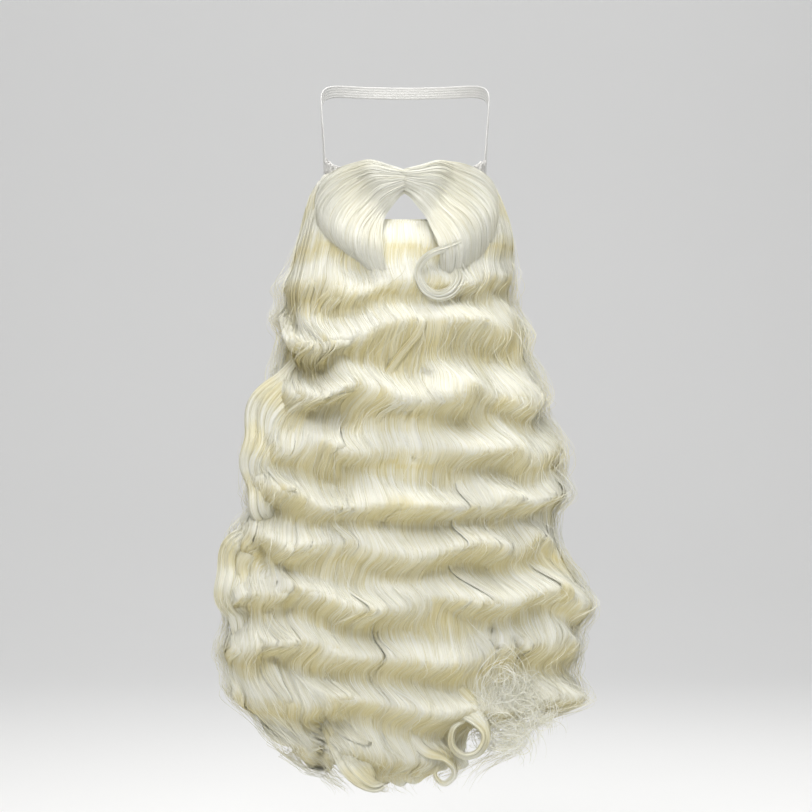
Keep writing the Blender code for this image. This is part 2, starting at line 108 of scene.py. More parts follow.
# The wearer's jaw, which the cloth base follows
JAW_COLUMNS = ("z", "half_width", "front", "back")
JAW = np.array(
    [
        (-0.009, 0.026, 0.020, 0.042),
        (-0.007, 0.036, 0.010, 0.047),
        (-0.003, 0.044, 0.003, 0.051),
        (0.003, 0.049, 0.000, 0.055),
        (0.020, 0.057, -0.001, 0.064),
        (0.040, 0.063, 0.000, 0.072),
        (0.060, 0.067, 0.000, 0.078),
        (0.080, 0.070, 0.000, 0.082),
        (0.100, 0.072, 0.000, 0.084),
    ]
)
# Places across the beard, from -1 at its left edge to 1 at its right one
WAVE_PLACES = np.array([-0.92, -0.60, -0.30, 0.0, 0.30, 0.60, 0.92])
# A row for each wave: photo pixels down from the top at those places. They began as the falls in
# brightness that a measuring script found in eleven columns of the photo, and were then changed
WAVE_EDGES = np.array(
    [
        (236, 236, 238, 240, 238, 236, 236),
        (281, 284, 288, 280, 285, 272, 268),
        (318, 344, 342, 321, 326, 318, 331),
        (383, 397, 394, 402, 390, 408, 388),
        (436, 448, 450, 452, 451, 458, 440),
        (491, 492, 505, 509, 504, 498, 500),
        (526, 546, 544, 553, 543, 541, 548),
        (598, 594, 600, 602, 600, 592, 612),
        (650, 646, 646, 664, 658, 638, 654),
        (697, 698, 701, 708, 711, 700, 704),
        (745, 750, 753, 760, 764, 752, 750),
        (792, 795, 800, 806, 808, 800, 795),
    ]
)
# How strong each wave is there, in tenths. They began near the contrasts that the same script
# found, and were then tuned by eye. They began near the contrasts measured in the same
# columns, and were then tuned
WAVE_STRENGTHS = np.array(
    [
        (2, 2, 2, 1, 2, 2, 2),
        (4, 5, 4, 3, 4, 5, 3),
        (10, 13, 8, 5, 9, 5, 7),
        (3, 12, 11, 9, 9, 11, 8),
        (3, 1, 9, 0, 10, 3, 6),
        (7, 11, 12, 10, 12, 8, 11),
        (9, 10, 4, 8, 9, 5, 1),
        (11, 7, 8, 10, 11, 11, 7),
        (5, 10, 9, 6, 4, 5, 10),
        (7, 3, 9, 8, 10, 9, 10),
        (6, 9, 8, 5, 9, 6, 6),
        (4, 5, 5, 4, 5, 4, 4),
    ]
)
WAVE_SPACING = 0.047
# Bulges, dents and sweeps of the combed hair: middle in photo pixels, reach across and up and
# down in millimetres, height and push to the right in millimetres
SWELLS = (
    (315, 322, 26, 15, 4.0, -5.0),
    (312, 366, 14, 9, -4.0, 0.0),
    (300, 345, 16, 10, 1.0, 3.0),
    (364, 280, 18, 10, -6.0, 3.0),
    (335, 388, 44, 12, 2.0, 7.0),
    (436, 276, 12, 13, -4.5, 0.0),
    (464, 318, 22, 14, 4.0, -8.0),
    (405, 345, 24, 14, 0.0, 5.0),
    (440, 392, 18, 11, 2.0, -8.0),
    (345, 437, 20, 14, 2.5, -6.0),
    (470, 437, 24, 14, 3.0, 8.0),
    (300, 466, 16, 16, 1.0, -7.0),
    (360, 507, 30, 14, 0.0, -7.0),
    (452, 520, 30, 16, 0.0, 8.0),
    (290, 560, 12, 14, 4.0, -6.0),
    (405, 585, 40, 12, 3.0, -6.0),
    (300, 640, 22, 12, 3.0, 8.0),
    (545, 604, 28, 34, 4.0, 1.0),
    (430, 640, 30, 14, 0.0, 7.0),
    (556, 694, 15, 20, 7.0, 5.0),
    (400, 700, 30, 14, 2.0, 7.0),
    (262, 700, 22, 20, 2.0, -6.0),
    (350, 745, 22, 14, 1.5, -5.0),
)
# Partings between locks: photo pixels of both ends, half width and depth in millimetres
PARTINGS = (
    ((386, 346), (388, 370), 2.2, 6.0),
    ((427, 364), (425, 386), 2.2, 6.0),
    ((405, 396), (418, 478), 2.2, 6.0),
    ((252, 530), (276, 598), 3.2, 9.0),
    ((264, 634), (276, 664), 3.0, 8.0),
    ((491, 616), (499, 660), 4.0, 9.0),
    ((512, 632), (522, 662), 3.0, 8.0),
    ((326, 672), (314, 830), 5.0, 12.0),
)
# Top edge and lowest ends of the combed hair
HAIR_EDGE_COLUMNS = ("across", "top", "bottom")
HAIR_EDGES = np.array(
    [
        (-1.00, 0.078, -0.420),
        (-0.88, 0.0810, -0.452),
        (-0.74, 0.084, -0.480),
        (-0.58, 0.076, -0.499),
        (-0.50, 0.064, -0.488),
        (-0.42, 0.056, -0.462),
        (-0.34, 0.048, -0.486),
        (-0.24, 0.038, -0.497),
        (-0.08, 0.036, -0.500),
        (0.10, 0.036, -0.498),
        (0.24, 0.037, -0.487),
        (0.38, 0.055, -0.458),
        (0.56, 0.076, -0.444),
        (0.74, 0.084, -0.438),
        (0.88, 0.0810, -0.434),
        (1.00, 0.078, -0.414),
    ]
)
# Where the hem's gap lies and how far the locks' ends keep away from it
HEM_GAP = -0.43
GAP_PUSH = 0.085

# Hair guides of the moustache's wings, from the outer edge to the mouth, in photo pixels, and how
# many millimetres each of their points stands off the hair below
LEFT_WING = (
    ((417, 170), (404, 167), (391, 164), (368, 158), (345, 159), (325, 171), (313, 196), (310, 236)),
    ((417, 173), (404, 171), (391, 170), (368, 167), (346, 172), (328, 188), (317, 215), (319, 250)),
    ((417, 177), (405, 176), (393, 177), (373, 178), (354, 187), (339, 206), (331, 232), (340, 264)),
    ((417, 181), (406, 181), (395, 184), (380, 190), (364, 203), (353, 221), (349, 245), (358, 276)),
    ((416, 186), (407, 187), (398, 191), (387, 199), (375, 213), (367, 231), (367, 254), (377, 288)),
    ((413, 190), (407, 192), (400, 197), (393, 205), (386, 217), (382, 234), (384, 257), (393, 298)),
)
LEFT_WING_LIFTS = (
    (2, 7, 9, 9, 8, 7, 5, -2),
    (4, 10, 12, 14, 15, 14, 12, -3),
    (5, 11, 13, 16, 18, 19, 16, -4),
    (4, 11, 13, 15, 18, 19, 15, -4),
    (3, 9, 11, 13, 16, 16, 12, -4),
    (2, 6, 8, 10, 11, 11, 8, -3),
)
RIGHT_WING = (
    ((393, 170), (406, 167), (419, 164), (442, 158), (464, 159), (486, 171), (501, 196), (508, 240)),
    ((393, 173), (406, 171), (419, 170), (443, 167), (464, 173), (483, 188), (497, 214), (501, 262)),
    ((393, 177), (405, 176), (417, 177), (438, 179), (457, 189), (473, 207), (485, 234), (488, 282)),
    ((393, 181), (404, 181), (415, 185), (431, 192), (446, 205), (459, 223), (468, 249), (468, 292)),
    ((394, 186), (403, 187), (412, 191), (424, 201), (436, 216), (447, 234), (453, 258), (451, 294)),
    ((397, 190), (404, 192), (411, 197), (419, 208), (428, 222), (436, 240), (440, 257), (438, 280)),
)
RIGHT_WING_LIFTS = (
    (2, 7, 9, 9, 8, 7, 5, -3),
    (4, 10, 12, 14, 15, 13, 11, -3),
    (5, 11, 13, 16, 18, 17, 14, -4),
    (4, 11, 13, 15, 18, 18, 13, -4),
    (3, 9, 11, 14, 17, 16, 12, -4),
    (2, 6, 8, 10, 13, 14, 10, -3),
)

# Free locks: points and half widths of their lines in metres, and the turn of the face in degrees
FREE_LOCKS = {
    "ring_curl": (
        (0.020, -0.012, -0.360, 0.020, 0),
        (0.046, -0.024, -0.396, 0.020, 0),
        (0.066, -0.038, -0.419, 0.013, 45),
        (0.0735, -0.045, -0.436, 0.0095, 80),
        (0.068, -0.047, -0.450, 0.009, 85),
        (0.055, -0.048, -0.455, 0.0085, 85),
        (0.043, -0.048, -0.446, 0.008, 85),
        (0.044, -0.048, -0.430, 0.006, 85),
        (0.055, -0.048, -0.423, 0.003, 85),
    ),
    "small_ring": (
        (0.004, -0.010, -0.410, 0.016, 0),
        (0.020, -0.022, -0.446, 0.014, 20),
        (0.038, -0.032, -0.460, 0.009, 60),
        (0.0445, -0.038, -0.472, 0.007, 85),
        (0.036, -0.038, -0.481, 0.006, 85),
        (0.028, -0.038, -0.474, 0.005, 85),
        (0.031, -0.038, -0.466, 0.003, 85),
    ),
    "hem_curl": (
        (-0.066, -0.008, -0.425, 0.013, 0),
        (-0.056, -0.026, -0.450, 0.014, 15),
        (-0.044, -0.034, -0.470, 0.013, 40),
        (-0.030, -0.034, -0.483, 0.010, 60),
        (-0.018, -0.026, -0.484, 0.006, 80),
    ),
    "left_bulge": (
        (-0.084, 0.018, -0.092, 0.010, 0),
        (-0.112, 0.002, -0.126, 0.019, -15),
        (-0.130, -0.006, -0.166, 0.020, -20),
        (-0.133, -0.008, -0.200, 0.017, -15),
        (-0.125, -0.010, -0.230, 0.013, 10),
        (-0.114, 0.004, -0.254, 0.010, 20),
        (-0.104, 0.026, -0.272, 0.006, 20),
    ),
    "left_lobe": (
        (-0.112, 0.004, -0.236, 0.010, 0),
        (-0.140, -0.004, -0.262, 0.016, -15),
        (-0.156, -0.008, -0.292, 0.017, -20),
        (-0.154, -0.010, -0.322, 0.014, -10),
        (-0.144, -0.006, -0.345, 0.011, 10),
        (-0.132, 0.006, -0.366, 0.008, 20),
        (-0.122, 0.028, -0.384, 0.005, 20),
    ),
}

# Line of the soft ring that the right wing's end makes on the chin
CHIN_RING = (
    (0.050, -0.0330, 0.012),
    (0.038, -0.0375, 0.007),
    (0.025, -0.0395, 0.0025),
    (0.015, -0.0395, -0.006),
    (0.012, -0.0390, -0.0180),
    (0.018, -0.0390, -0.0305),
    (0.030, -0.0385, -0.0365),
    (0.043, -0.0360, -0.0315),
    (0.050, -0.0310, -0.0200),
    (0.048, -0.0270, -0.0090),
)

# Elastic's middle line from its left sewn end to the middle of the back of the head
BAND_LEFT = np.array(
    [
        (-0.0762, 0.0735, 0.0785),
        (-0.0770, 0.0745, 0.0960),
        (-0.0785, 0.0800, 0.1200),
        (-0.0802, 0.0900, 0.1430),
        (-0.0800, 0.1120, 0.1620),
        (-0.0700, 0.1480, 0.1720),
        (-0.0400, 0.1810, 0.1750),
        (0.0000, 0.1920, 0.1755),
    ]
)
HEAD_CENTRE_Y = 0.096
HEAD_HALF_WIDTH = 0.079
HEAD_HALF_LENGTH = 0.096

# Streak coordinates: metres across the hair per unit of u, and waves per unit of v
U_SPAN = 0.40
V_SPAN = 15.0
V_START = 2.5
# A wave count at which the hair takes the painted crest highlight and none of the painted trough
# shade
PALE_COUNT = 0.80
# Length of one row of a combed lock, and of a looser one
ROW_LENGTH = 0.0042
LOOSE_ROW_LENGTH = 0.0054
# Where the left and the right third of the hair begin
SIDE_THIRD = 0.36


# Sizes and colours a user may change
class BeardSizes(bpy.types.PropertyGroup):
    wave_depth: bpy.props.FloatProperty(
        name="Wave depth", description="How far a wave stands out", default=0.0092, unit="LENGTH"
    )
    wave_swing: bpy.props.FloatProperty(
        name="Wave swing", description="How far hairs swing sideways", default=0.0150, unit="LENGTH"
    )
    hair_width: bpy.props.FloatProperty(
        name="Hair width", description="Width of one laid hair", default=0.00055, unit="LENGTH"
    )
    hairs_per_metre: bpy.props.FloatProperty(
        name="Hairs per metre", description="Laid hairs per metre of a lock's width", default=1180.0
    )
    stray_hairs: bpy.props.IntProperty(
        name="Stray hairs", description="Loose hairs round the outline", default=460
    )
    band_width: bpy.props.FloatProperty(
        name="Elastic width", description="Width of the elastic", default=0.012, unit="LENGTH"
    )


class BeardColours(bpy.types.PropertyGroup):
    # Crest: the light side of the random streaks, and the painted highlight on wave crests
    crest: bpy.props.FloatVectorProperty(
        name="Crest",
        description="Hair on a wave's crest",
        default=(0.91, 0.915, 0.86),
        subtype="COLOR",
    )
    middle: bpy.props.FloatVectorProperty(
        name="Middle", description="Hair between", default=(0.78, 0.75, 0.55), subtype="COLOR"
    )
    moustache: bpy.props.FloatVectorProperty(
        name="Moustache",
        description="Moustache between its crests",
        default=(0.80, 0.79, 0.67),
        subtype="COLOR",
    )
    # Trough: painted shade laid into the wave troughs; a darker copy of it is painted shade between
    # the hairs
    trough: bpy.props.FloatVectorProperty(
        name="Trough",
        description="Hair deep in a wave",
        default=(0.73, 0.63, 0.27),
        subtype="COLOR",
    )
    cloth: bpy.props.FloatVectorProperty(
        name="Cloth", description="Base and tabs", default=(0.86, 0.85, 0.82), subtype="COLOR"
    )
    floor: bpy.props.FloatVectorProperty(
        name="Floor", description="Floor and backdrop", default=(0.84, 0.845, 0.85), subtype="COLOR"
    )


# Form of the hair


def blend(x, y, at):
    """Values between known ones, with a smooth run from each to the next."""
    at = np.clip(np.asarray(at, float), x[0], x[-1])
    slope = np.gradient(y, x)
    k = np.clip(np.searchsorted(x, at) - 1, 0, len(x) - 2)
    step = x[k + 1] - x[k]
    t = (at - x[k]) / step
    rise = (1 + 2 * t) * (1 - t) ** 2 * y[k] + t * t * (3 - 2 * t) * y[k + 1]
    return rise + step * (t * (1 - t) ** 2 * slope[k] + t * t * (t - 1) * slope[k + 1])


def column(table, columns, name, at):
    """Reads one column of a table at the places given by its first column."""
    return blend(table[:, 0], table[:, columns.index(name)], at)


def smooth(x):
    """A soft step from 0 to 1."""
    x = np.clip(x, 0, 1)
    return x * x * (3 - 2 * x)


def unit(vectors):
    """Vectors brought to length 1."""
    return vectors / np.maximum(np.linalg.norm(vectors, axis=-1, keepdims=True), 1e-9)


def waver(rng, t, slow, fast, shape=None):
    """A sine along t with a random rate and a random start."""
    return np.sin(rng.uniform(slow, fast, shape) * t + rng.uniform(0, 6.3, shape))


def dome(e):
    """Height of a lock's rounded face from edge to edge."""
    return np.sqrt(1 - 0.96 * e**2)[None, :]


def streak_v(count):
    """Streak coordinate that belongs to a wave count."""
    return (count + V_START) / V_SPAN


def photo_x(px):
    """Metres to the right of the origin at a photo pixel."""
    return (px - ORIGIN_PX[0]) * PIXEL


def photo_z(py):
    """Metres above the origin at a photo pixel."""
    return (ORIGIN_PX[1] - py) * PIXEL


ROUNDNESS = 0.86


def around(across, half_left, half_right, front, rear):
    """Points of a horseshoe seen from above; across is -1 at its left end and 1 at its right one."""
    turn = np.asarray(across) * math.pi / 2
    side = np.where(turn < 0, half_left, half_right)
    x = side * np.abs(np.sin(turn)) ** ROUNDNESS
    y = rear - (rear - front) * np.abs(np.cos(turn)) ** ROUNDNESS
    return x, y


def outline(name, z):
    """One measure of the hair's outline at the heights given."""
    return column(OUTLINE, OUTLINE_COLUMNS, name, z)


def hair_edge(name, across):
    """Height of the combed hair's top edge or of its lowest ends at the places given."""
    return column(HAIR_EDGES, HAIR_EDGE_COLUMNS, name, across)


def outline_surface(across, z):
    """The smooth outside of the hair, before its waves."""
    sides = outline("left", z), outline("right", z)
    x, y = around(across, *sides, outline("front", z), outline("side_rear", z))
    return np.stack([x, y, z], axis=-1)


def jaw_surface(across, z, proud=0.0):
    """The wearer's jaw, or a surface that stands proud of it."""
    half = column(JAW, JAW_COLUMNS, "half_width", z) + proud
    front = column(JAW, JAW_COLUMNS, "front", z) - proud
    x, y = around(across, -half, half, front, column(JAW, JAW_COLUMNS, "back", z))
    return np.stack([x, y, z], axis=-1)


def hollow_surface(across, z):
    """The inside of the hair: round the jaw and the neck above, nearly flat below."""
    half = column(HOLLOW, HOLLOW_COLUMNS, "half_width", z)
    front = column(HOLLOW, HOLLOW_COLUMNS, "front", z)
    rear = column(HOLLOW, HOLLOW_COLUMNS, "back", z)
    below = np.clip((-0.26 - z) / 0.10, 0, 1)
    back = outline("back", z)
    front = front * (1 - below) + back * below
    rear = rear * (1 - below) + back * below
    wide = np.clip((-0.06 - z) / 0.14, 0, 1)
    left = -half * (1 - wide) + (outline("left", z) + 0.014) * wide
    right = half * (1 - wide) + (outline("right", z) - 0.014) * wide
    x, y = around(across, left, right, front, rear)
    return np.stack([x, y, z], axis=-1)


def surface_frame(surface, across, z):
    """A surface's points, its outward level directions and metres per unit across."""
    step = 0.02
    high = np.minimum(across + step, 1.0)
    low = np.maximum(across - step, -1.0)
    run = surface(high, z) - surface(low, z)
    length = np.linalg.norm(run, axis=-1)
    out = np.stack([run[..., 1], -run[..., 0], np.zeros_like(length)], axis=-1)
    return surface(across, z), out / length[..., None], length / (high - low)


# Share of a wave's length from its crest to its trough
TROUGH = 0.44


def waves(across, z):
    """How many waves lie above a point, whole at a crest, and how strong the waves are there."""
    a = np.clip(across, -1, 1) + 0 * z
    heights = np.stack([photo_z(blend(WAVE_PLACES, row, a)) for row in WAVE_EDGES])
    strengths = np.stack([blend(WAVE_PLACES, row / 10, a) for row in WAVE_STRENGTHS])
    count = np.clip((heights[:-1] - z) / (heights[:-1] - heights[1:]), 0, 1).sum(axis=0)
    low = np.minimum(count.astype(int), len(heights) - 2)[None]
    part = count - low[0]
    above = np.take_along_axis(strengths, low, axis=0)[0]
    below = np.take_along_axis(strengths, low + 1, axis=0)[0]
    least = np.minimum(above, below)
    falling = above + (least - above) * smooth(part / TROUGH)
    rising = least + (below - least) * smooth((part - TROUGH) / (1 - TROUGH))
    strength = np.where(part < TROUGH, falling, rising)
    count = count - np.maximum(0, (z - heights[0]) / WAVE_SPACING)
    count = count + np.maximum(0, (heights[-1] - z) / WAVE_SPACING)
    arcs = np.abs(np.sin(5.2 * a + 11.0 * z + 0.8 * np.sin(4.0 * a + 61.0 * z)))
    ripple = 0.05 * np.sin(9.0 * a + 23.0 * z) + 0.05 * np.sin(15.0 * a - 37.0 * z + 1.0)
    uneven = 1 + 0.28 * np.sin(11.0 * a + 47.0 * z) + 0.24 * np.sin(19.0 * a - 31.0 * z)
    return count + 0.16 * (0.6 - arcs) + ripple, np.clip(strength * uneven, 0.05, 1.5)


def tint_count(count, strength):
    """The wave count that places the painted crest highlight and trough shade: where waves are weak
    it hurries through the hollow.
    """
    phase = count % 1.0
    off = np.clip((phase - 0.25) / 0.25, -1, 1)
    power = 0.12 + 0.88 * smooth((strength - 0.15) / 0.75)
    hurried = 0.25 + 0.25 * np.sign(off) * np.abs(off) ** power
    return count - phase + np.where(phase < 0.5, hurried, phase)


def wave_profile(phase):
    """1 at a crest, a quick fall to -1 below it, and a slow rise to the next crest."""
    fall = np.cos(np.pi * np.clip(phase / TROUGH, 0, 1))
    rise = -np.cos(np.pi * np.clip((phase - TROUGH) / (1 - TROUGH), 0, 1))
    return np.where(phase < TROUGH, fall, rise)


SWING_START = 0.46
SWING_PEAK = 0.97
SWING_END = 1.34


def swing_profile(phase):
    """Sideways swing of a hair: rightwards as it nears a crest, and back below it."""
    later = np.where(phase < SWING_START, phase + 1, phase)
    go = smooth((later - SWING_START) / (SWING_PEAK - SWING_START))
    back = smooth((later - SWING_PEAK) / (SWING_END - SWING_PEAK))
    return go - back - 0.36


def swelling(x, z, which):
    """Height of the swells at a place (which is 0), or their push to the right (which is 1)."""
    total = 0.0 * z
    for px, py, wide, tall, *sizes in SWELLS:
        off = (x - photo_x(px)) / (wide * MM)
        down = (z - photo_z(py)) / (tall * MM)
        total = total + sizes[which] * MM * np.exp(-(off**2) - down**2)
    return total


def parting(x, z, which):
    """Push of the hair away from the partings (which is 0), or its dip inside them (which is 1)."""
    total = 0.0 * z
    for (px0, py0), (px1, py1), half, deep in PARTINGS:
        along = (ORIGIN_PX[1] - z / PIXEL - py0) / (py1 - py0)
        open_share = smooth(along * 3) * smooth((1 - along) * 3)
        middle = px0 + (px1 - px0) * np.clip(along, 0, 1)
        off = (x - photo_x(middle)) / (half * MM)
        if which == 0:
            total = total + open_share * half * MM * np.tanh(2 * off) * np.exp(-((off / 4) ** 2))
        else:
            total = total - open_share * deep * MM * np.exp(-(off**2))
    return total


def combed_point(across, z, lift, shift=0.0, swing=1.0, depth=1.0):
    """Where a hair runs over the wavy outside: points, outward directions and wave counts."""
    sizes = bpy.context.scene.beard_sizes
    count, strength = waves(across, z)
    count = count + shift
    phase = count % 1.0
    fade = smooth((0.040 - z) / 0.080)
    rim = np.abs(np.clip(across, -1, 1))
    sway = swing * sizes.wave_swing * (0.3 + 0.7 * strength) * swing_profile(phase) * fade
    sway = sway * (1 - 0.6 * rim**8)
    point, _, metric = surface_frame(outline_surface, across, z)
    sway = sway + swelling(point[..., 0], z, 1) + parting(point[..., 0], z, 0)
    turned = np.clip(across + sway / metric, -1, 1)
    point, out, _ = surface_frame(outline_surface, turned, z)
    relief = depth * strength * sizes.wave_depth * wave_profile(phase) * fade * (1 - 0.45 * rim**6)
    relief = relief + swelling(point[..., 0], z, 0) + parting(point[..., 0], z, 1)
    return point + out * (relief + lift)[..., None], out, tint_count(count, strength)


def front_y(x, z):
    """How far forward the smooth outside of the hair lies at a place seen from the front."""
    half = np.where(x < 0, -outline("left", z), outline("right", z))
    share = np.clip(np.abs(x) / half, 0, 0.999) ** (1 / ROUNDNESS)
    level = np.sqrt(1 - share**2) ** ROUNDNESS
    return outline("side_rear", z) - (outline("side_rear", z) - outline("front", z)) * level


def spline(points, count):
    """Catmull-Rom points evenly spaced by parameter, for rows of any width."""
    points = np.asarray(points, float)
    ends = np.concatenate([[2 * points[0] - points[1]], points, [2 * points[-1] - points[-2]]])
    at = np.linspace(0, len(points) - 1, count)
    k = np.minimum(at.astype(int), len(points) - 2)
    t = (at - k).reshape((-1,) + (1,) * (points.ndim - 1))
    a, b, c, d = ends[k], ends[k + 1], ends[k + 2], ends[k + 3]
    bend = (2 * a - 5 * b + 4 * c - d) * t**2
    return 0.5 * (2 * b + (c - a) * t + bend + (3 * b - a - 3 * c + d) * t**3)


# Locks and hairs

# Columns across a lock's face
LOCK_COLUMNS = 13


class Lock:
    """A closed ring of columns that follow its hairs: rows x columns of points, outward directions,
    and streak coordinates. Hairs are laid over its first columns, or over all of them."""

    def __init__(self, points, out, u, v, face, solid_share=1.0):
        self.points, self.out, self.u, self.v, self.face = points, out, u, v, face
        self.solid_rows = max(3, int(round(len(points) * solid_share)))
        self.hair_share = 1.0
        self.hairs_all_round = False

    def at(self, row, col):
        """Points, directions and coordinates between rows and columns."""
        rows, cols = self.points.shape[:2]
        r = np.clip(row, 0, rows - 1.001)
        c = np.mod(col, cols)
        r0, c0 = r.astype(int), c.astype(int)
        fr, fc = (r - r0)[..., None], (c - c0)[..., None]
        c1 = (c0 + 1) % cols

        def mix(grid):
            top = grid[r0, c0] * (1 - fc) + grid[r0, c1] * fc
            low = grid[r0 + 1, c0] * (1 - fc) + grid[r0 + 1, c1] * fc
            return top * (1 - fr) + low * fr

        return mix(self.points), unit(mix(self.out)), mix(self.v[..., None])[..., 0]


def level_metric(middle, z):
    """Metres per unit across on the hair's outside, along a lock's middle line."""
    return surface_frame(outline_surface, np.clip(middle, -0.98, 0.98) * np.ones_like(z), z)[2]


def strand(rng, centre, half, top, bottom, lift, thick):
    """A narrow lock that rises out of the combed hair and dives back into it."""
    rows, cols = max(10, int((top - bottom) / ROW_LENGTH)), 9
    t = np.linspace(0, 1, rows)[:, None]
    e = np.linspace(-1, 1, cols)
    z = top + (bottom - top) * t * np.ones((1, cols))
    middle = centre + rng.uniform(-0.10, 0.10) * t + 0.03 * waver(rng, t, 3, 6)
    wide = e[None, :] * half * np.sin(math.pi * np.clip(t, 0.03, 0.97)) ** 0.6
    across = np.clip(middle + wide / level_metric(middle, z), -1, 1)
    dive = -0.005 * (1 - smooth(t / 0.16) * smooth((1 - t) / 0.16))
    raised = lift + thick * dome(e) + dive
    shift = rng.uniform(-0.07, 0.07)
    swing = rng.uniform(1.1, 1.7)
    depth = rng.uniform(0.9, 1.3)
    front, out, count = combed_point(across, z, raised, shift, swing, depth)
    u = rng.uniform(0.1, 0.9) + e[None, :] * half / U_SPAN * np.ones_like(z)
    return lens(front, out, thick + 0.001, u, streak_v(count), e)


def lens(front, out, thick, u, v, e):
    """Closes a grid of front points into a ring: front columns, then fewer columns behind."""
    behind = np.arange(len(e) - 3, 1, -3)
    deep = thick * np.sqrt(1 - e[behind] ** 2)[None, :, None]
    back = front[:, behind] - out[:, behind] * deep
    points = np.concatenate([front, back], axis=1)
    facing = np.concatenate([out, -out[:, behind]], axis=1)
    u = np.concatenate([u, u[:, behind]], axis=1)
    v = np.concatenate([v, v[:, behind]], axis=1)
    return Lock(points, facing, u, v, len(e) - 1, 0.96)


def curled_end(front, out, first, radius, lean):
    """Rolls the rows past the first one inwards round a level line, leaning to one side."""
    run = unit(front[first] - front[first - 1])
    inward = -out[first]
    inward = unit(inward - run * np.sum(inward * run, axis=-1, keepdims=True))
    steps = np.linalg.norm(np.diff(front[first - 1 :], axis=0), axis=-1).mean(axis=1)
    angle = np.cumsum(steps[1:]) / radius
    for k, turn in enumerate(angle):
        row = first + 1 + k
        front[row] = front[first] + radius * (math.sin(turn) * run + (1 - math.cos(turn)) * inward)
        front[row, :, 0] += lean * radius * (1 - math.cos(turn))
        out[row] = math.cos(turn) * -inward + math.sin(turn) * run


def combed_lock(rng, centre, half, top, bottom, lift, thick, loose=1.0):
    """A lock that follows the wavy outside of the beard from one height to another."""
    rows = max(8, int((top - bottom) / (ROW_LENGTH if loose == 1.0 else LOOSE_ROW_LENGTH)))
    t = np.linspace(0, 1, rows)[:, None]
    t = t * (1.5 - 0.5 * t)
    e = np.linspace(-1, 1, LOCK_COLUMNS)
    z = top + (bottom - top) * t + 0.008 * (e**2)[None, :] * smooth((t - 0.8) / 0.2)
    drift = rng.uniform(-0.07, 0.07) * loose
    middle = centre + drift * smooth(t) + 0.024 * loose * waver(rng, t, 4, 7)
    away = GAP_PUSH * np.sign(centre - HEM_GAP) * math.exp(-(((centre - HEM_GAP) / 0.16) ** 2))
    middle = middle + away * smooth((t - 0.72) / 0.28)
    width = half * (0.72 + 0.28 * smooth(t / 0.12)) * (1 - 0.58 * smooth((t - 0.84) / 0.16))
    across = np.clip(middle + e[None, :] * width / level_metric(middle, z), -1, 1)
    swell = 0.65 + 0.35 * waver(rng, t, 8, 15)
    crown = thick * swell * dome(e) * (1 - 0.5 * smooth((t - 0.85) / 0.15))
    dive = -0.004 * (1 - smooth(t / 0.03)) - 0.0046 * (e**8)[None, :]
    bow = rng.uniform(-0.02, 0.06) * loose * (e**2)[None, :] + rng.uniform(-0.03, 0.03) * loose
    swing = rng.uniform(0.8, 1.2)
    depth = rng.uniform(0.9, 1.1)
    front, out, count = combed_point(across, z, lift + crown + dive, bow, swing, depth)
    radius = rng.uniform(0.0045, 0.0075)
    curl = radius * rng.uniform(2.2, 3.6)
    first = int(np.searchsorted(t[:, 0], 1 - curl / (top - bottom)))
    curled_end(front, out, min(first, rows - 3), radius, rng.uniform(-0.2, 1.2))
    u = rng.uniform(0.1, 0.9) + e[None, :] * half / U_SPAN * np.ones_like(z)
    return lens(front, out, 1.8 * thick + 0.002, u, streak_v(count), e)


def lock_line(rows):
    """A free lock's evenly spaced points, its two cross directions and its steps."""
    rows = np.asarray(rows, float)
    length = np.linalg.norm(np.diff(rows[:, :3], axis=0), axis=1).sum()
    line = spline(rows, max(12, int(length / 0.0034)))
    run = np.gradient(line[:, :3], axis=0)
    step = np.linalg.norm(run, axis=1, keepdims=True)
    run = run / step
    side = unit(np.cross(run, np.array([0.0, -1.0, 0.0])))
    face = np.cross(side, run)
    turn = np.radians(line[:, 4])[:, None]
    turned_side = side * np.cos(turn) + face * np.sin(turn)
    turned_face = face * np.cos(turn) - side * np.sin(turn)
    return line, turned_side, turned_face, step


# Thin locks in one free lock, and the depth of the waves in those at the left side
TUFT_LOCKS = 6
SIDE_TUFT_WAVE = 0.0028


def tuft(rng, rows, start, wave):
    """Several thin locks that share one line and part a little towards its end."""
    line, side, face, _ = lock_line(rows)
    half = line[:, 3:4]
    t = np.linspace(0, 1, len(line))[:, None]
    made = []
    for k in range(TUFT_LOCKS):
        place = 2 * (k + 0.5) / TUFT_LOCKS - 1 + rng.uniform(-0.1, 0.1)
        sway = half * rng.uniform(0.05, 0.16) * waver(rng, t, 5, 12)
        over = place * half * (0.80 + 0.35 * t**2) + sway + wave * np.sin(30 * t + 0.5 * place)
        rise = 0.36 * half * (rng.uniform(-0.5, 0.5) + 0.5 * (1 - place**2)) + 0.5 * sway
        rise = rise + 0.8 * wave * np.cos(30 * t + 0.5 * place)
        centre = line[:, :3] + side * over + face * rise
        width = half * (1.5 / TUFT_LOCKS + 0.12) * rng.uniform(0.8, 1.2)
        end = len(line) - int(rng.uniform(0, 0.10) * len(line))
        thin = np.concatenate([centre, width, line[:, 4:5] + rng.uniform(-14, 14)], axis=1)[:end]
        made.append(free_lock(rng, thin, start))
    return made


